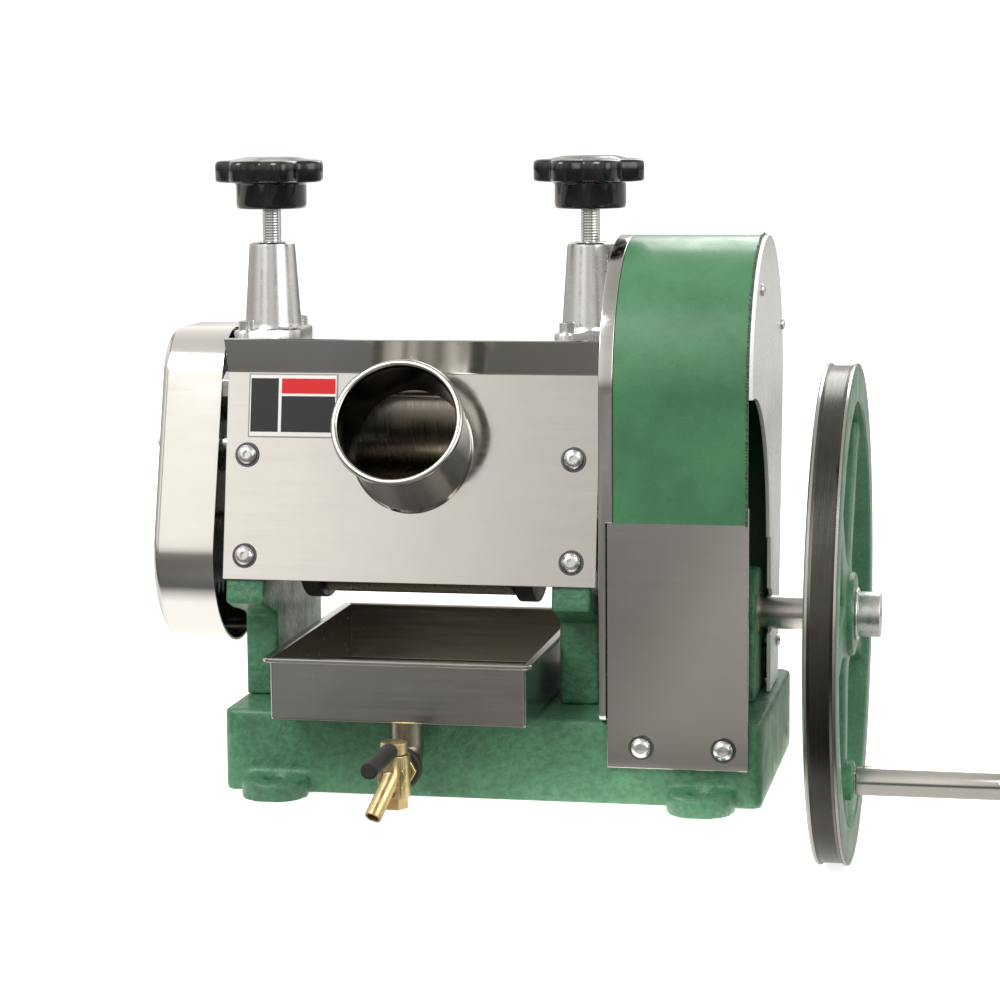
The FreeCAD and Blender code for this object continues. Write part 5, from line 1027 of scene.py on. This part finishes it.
gasket_low, gasket_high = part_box("outlet_gasket")
outer, width, bore = (gasket_high.z - gasket_low.z) / 2, gasket_high.y - gasket_low.y, 0.0085
gasket = turned("outlet_rubber", [
    (0, bore), (0, outer - 0.0012), (0.0012, outer), (width - 0.0012, outer), (width, outer - 0.0012),
    (width, bore),
], (PIPE_AT[0], gasket_low.y, OUTLET_Z), BACK, 64, loop=True)
fit(gasket, "tray", "black_rubber", black_rubber, "outlet_gasket")
machined("outlet_brass_nut", "outlet_nut", "tray", "brass", brass, 0.0007)
machined("tap_casting", "tap_body", "tray", "brass", brass, 0.0006)
machined("tap_plug_turned", "tap_plug", "tap_lever", "brass", brass, 0.0005)
machined("tap_plug_nut", "plug_nut", "tap_lever", "brass", brass, 0.0005)
machined("tap_lever_rod", "lever_rod", "tap_lever", "zinc_plated", zinc_plate, 0.0005)
machined("tap_lever_sleeve", "lever_sleeve", "tap_lever", "black_rubber", black_rubber, 0.0012)

# --- Floor, light and camera ----------------------------------------------------------------
# A pale bench top that ends between the base and the wheel, with the floor a little lower, so
# that the wheel hangs beside it. Soft light comes from above and in front.
BENCH_EDGE, FLOOR_REACH, wheel_floor = 0.178, 8, wheel_low.z - 0.0005
form = bmesh.new()
profile = [(-FLOOR_REACH, 0), (BENCH_EDGE - 0.002, 0), (BENCH_EDGE - 0.0006, -0.0006), (BENCH_EDGE, -0.002),
           (BENCH_EDGE, wheel_floor), (FLOOR_REACH, wheel_floor)]
near = [form.verts.new((x, -FLOOR_REACH, z)) for x, z in profile]
far = [form.verts.new((x, FLOOR_REACH, z)) for x, z in profile]
for index in range(len(profile) - 1):
    form.faces.new((near[index], near[index + 1], far[index + 1], far[index]))
floor = piece_from("floor", form)


def tones_along(tree, place, low, high, stops):
    """Colours that follow a coordinate between two of its values."""
    share = tree.nodes.new("ShaderNodeMapRange")
    share.inputs["From Min"].default_value, share.inputs["From Max"].default_value = low, high
    tree.links.new(place, share.inputs["Value"])
    return shade(tree, share.outputs["Result"], stops)


# The camera sees the floor white; mirrored in the steel, it has the tones of a workshop.
floor_paint, tree, shader = finish_nodes("Pale floor", (0.86, 0.86, 0.86), 0.75)
shader.inputs["Emission Color"].default_value = (1, 1, 1, 1)
shader.inputs["Emission Strength"].default_value = 0.8
place = tree.nodes.new("ShaderNodeSeparateXYZ")
tree.links.new(tree.nodes.new("ShaderNodeTexCoord").outputs["Object"], place.inputs["Vector"])
dark_table = tree.nodes.new("ShaderNodeEmission")
dark_table.inputs["Strength"].default_value = 2.0
front_to_back = tones_along(tree, place.outputs["Y"], -1.5, 0.0, [
    (0.0, 0.27), (0.35, 0.22), (0.78, 0.17), (0.865, 0.11), (0.92, 1.0),
])
left_to_right = tones_along(tree, place.outputs["X"], -0.6, 0.6, [
    (0.0, (0.46, 0.43, 0.39)), (0.2, (0.55, 0.52, 0.48)), (0.28, (0.72, 0.70, 0.67)),
    (0.34, (0.72, 0.70, 0.67)), (0.4, (0.48, 0.46, 0.44)), (0.5, (0.62, 0.59, 0.54)),
    (0.56, (1.0, 0.96, 0.88)), (0.63, (1.0, 0.96, 0.88)), (0.67, (0.34, 0.33, 0.31)),
])
tree.links.new(mixed(tree, 1.0, front_to_back, left_to_right, "MULTIPLY"), dark_table.inputs["Color"])
from_camera = tree.nodes.new("ShaderNodeLightPath")
either = tree.nodes.new("ShaderNodeMixShader")
tree.links.new(from_camera.outputs["Is Camera Ray"], either.inputs[0])
tree.links.new(dark_table.outputs["Emission"], either.inputs[1])
tree.links.new(shader.outputs["BSDF"], either.inputs[2])
tree.links.new(either.outputs["Shader"], tree.nodes["Material Output"].inputs["Surface"])
floor.data.materials.append(floor_paint)

world = bpy.data.worlds.new("Studio")
bpy.context.scene.world = world
world.use_nodes = True
sky = world.node_tree
background = sky.nodes["Background"]
direction = sky.nodes.new("ShaderNodeTexCoord")
split = sky.nodes.new("ShaderNodeSeparateXYZ")
sky.links.new(direction.outputs["Generated"], split.inputs["Vector"])


def sky_ramp(axis, stops):
    """Warm greys of the studio along one axis, from -1 to 1."""
    warm = [(at, (grey, grey * 0.98, grey * 0.95)) for at, grey in stops]
    return tones_along(sky, split.outputs[axis], -1, 1, warm)


up_the_walls = sky_ramp("Z", [(0.5, 0.26), (0.53, 0.62), (0.57, 0.92), (0.7, 1.0), (0.85, 0.85), (1.0, 0.62)])
round_the_walls = sky_ramp("X", [
    (0.0, 0.5), (0.12, 1.0), (0.2, 0.3), (0.28, 1.0), (0.36, 1.0), (0.42, 0.52), (0.6, 0.8), (0.74, 0.3),
    (0.9, 0.95),
])
walls = mixed(sky, 1.0, up_the_walls, round_the_walls, "MULTIPLY")
ambient = sky_ramp("Z", [(0.0, 0.2), (0.5, 0.27), (0.62, 0.42), (1.0, 0.62)])
rays = sky.nodes.new("ShaderNodeLightPath")
seen = mixed(sky, rays.outputs["Is Glossy Ray"], ambient, walls)
seen = mixed(sky, rays.outputs["Is Camera Ray"], seen, (0.78, 0.78, 0.78))
sky.links.new(seen, background.inputs["Color"])
background.inputs["Strength"].default_value = 1.35


def softbox(name, at, target, size, power):
    """A soft square light that looks from one place at another."""
    light = bpy.data.lights.new(name, "AREA")
    light.shape, light.size, light.energy = "SQUARE", size, power
    lamp = bpy.data.objects.new(name, light)
    bpy.context.scene.collection.objects.link(lamp)
    lamp.location = at
    lamp.rotation_euler = (Vector(target) - Vector(at)).to_track_quat("-Z", "Y").to_euler()


softbox("Key", (-1.1, -1.5, 1.9), (0, 0, 0.18), 1.2, 40)
softbox("Fill", (1.7, -1.2, 1.1), (0, 0, 0.15), 1.4, 13)
softbox("Rim", (0.3, 1.7, 1.6), (0, 0, 0.2), 1.2, 14)

CAMERA_AT = Vector((0.35003, -1.82286, 0.42445))
YAW, PITCH, ROLL, FOCAL_PIXELS = math.radians(11.167), math.radians(7.639), math.radians(-0.438), 2900
ahead = Vector((-math.sin(YAW) * math.cos(PITCH), math.cos(YAW) * math.cos(PITCH), -math.sin(PITCH)))
level_right = ahead.cross(UP).normalized()
level_up = level_right.cross(ahead)
camera_right = level_right * math.cos(ROLL) + level_up * math.sin(ROLL)
camera_up = level_up * math.cos(ROLL) - level_right * math.sin(ROLL)
lens = bpy.data.cameras.new("Camera")
lens.sensor_width = 36
lens.lens = FOCAL_PIXELS / 1000 * lens.sensor_width
camera = bpy.data.objects.new("Camera", lens)
bpy.context.scene.collection.objects.link(camera)
facing = Matrix((camera_right, camera_up, -ahead)).transposed().to_4x4()
camera.matrix_world = Matrix.Translation(CAMERA_AT) @ facing
bpy.context.scene.camera = camera
bpy.context.scene.view_settings.view_transform = "Standard"
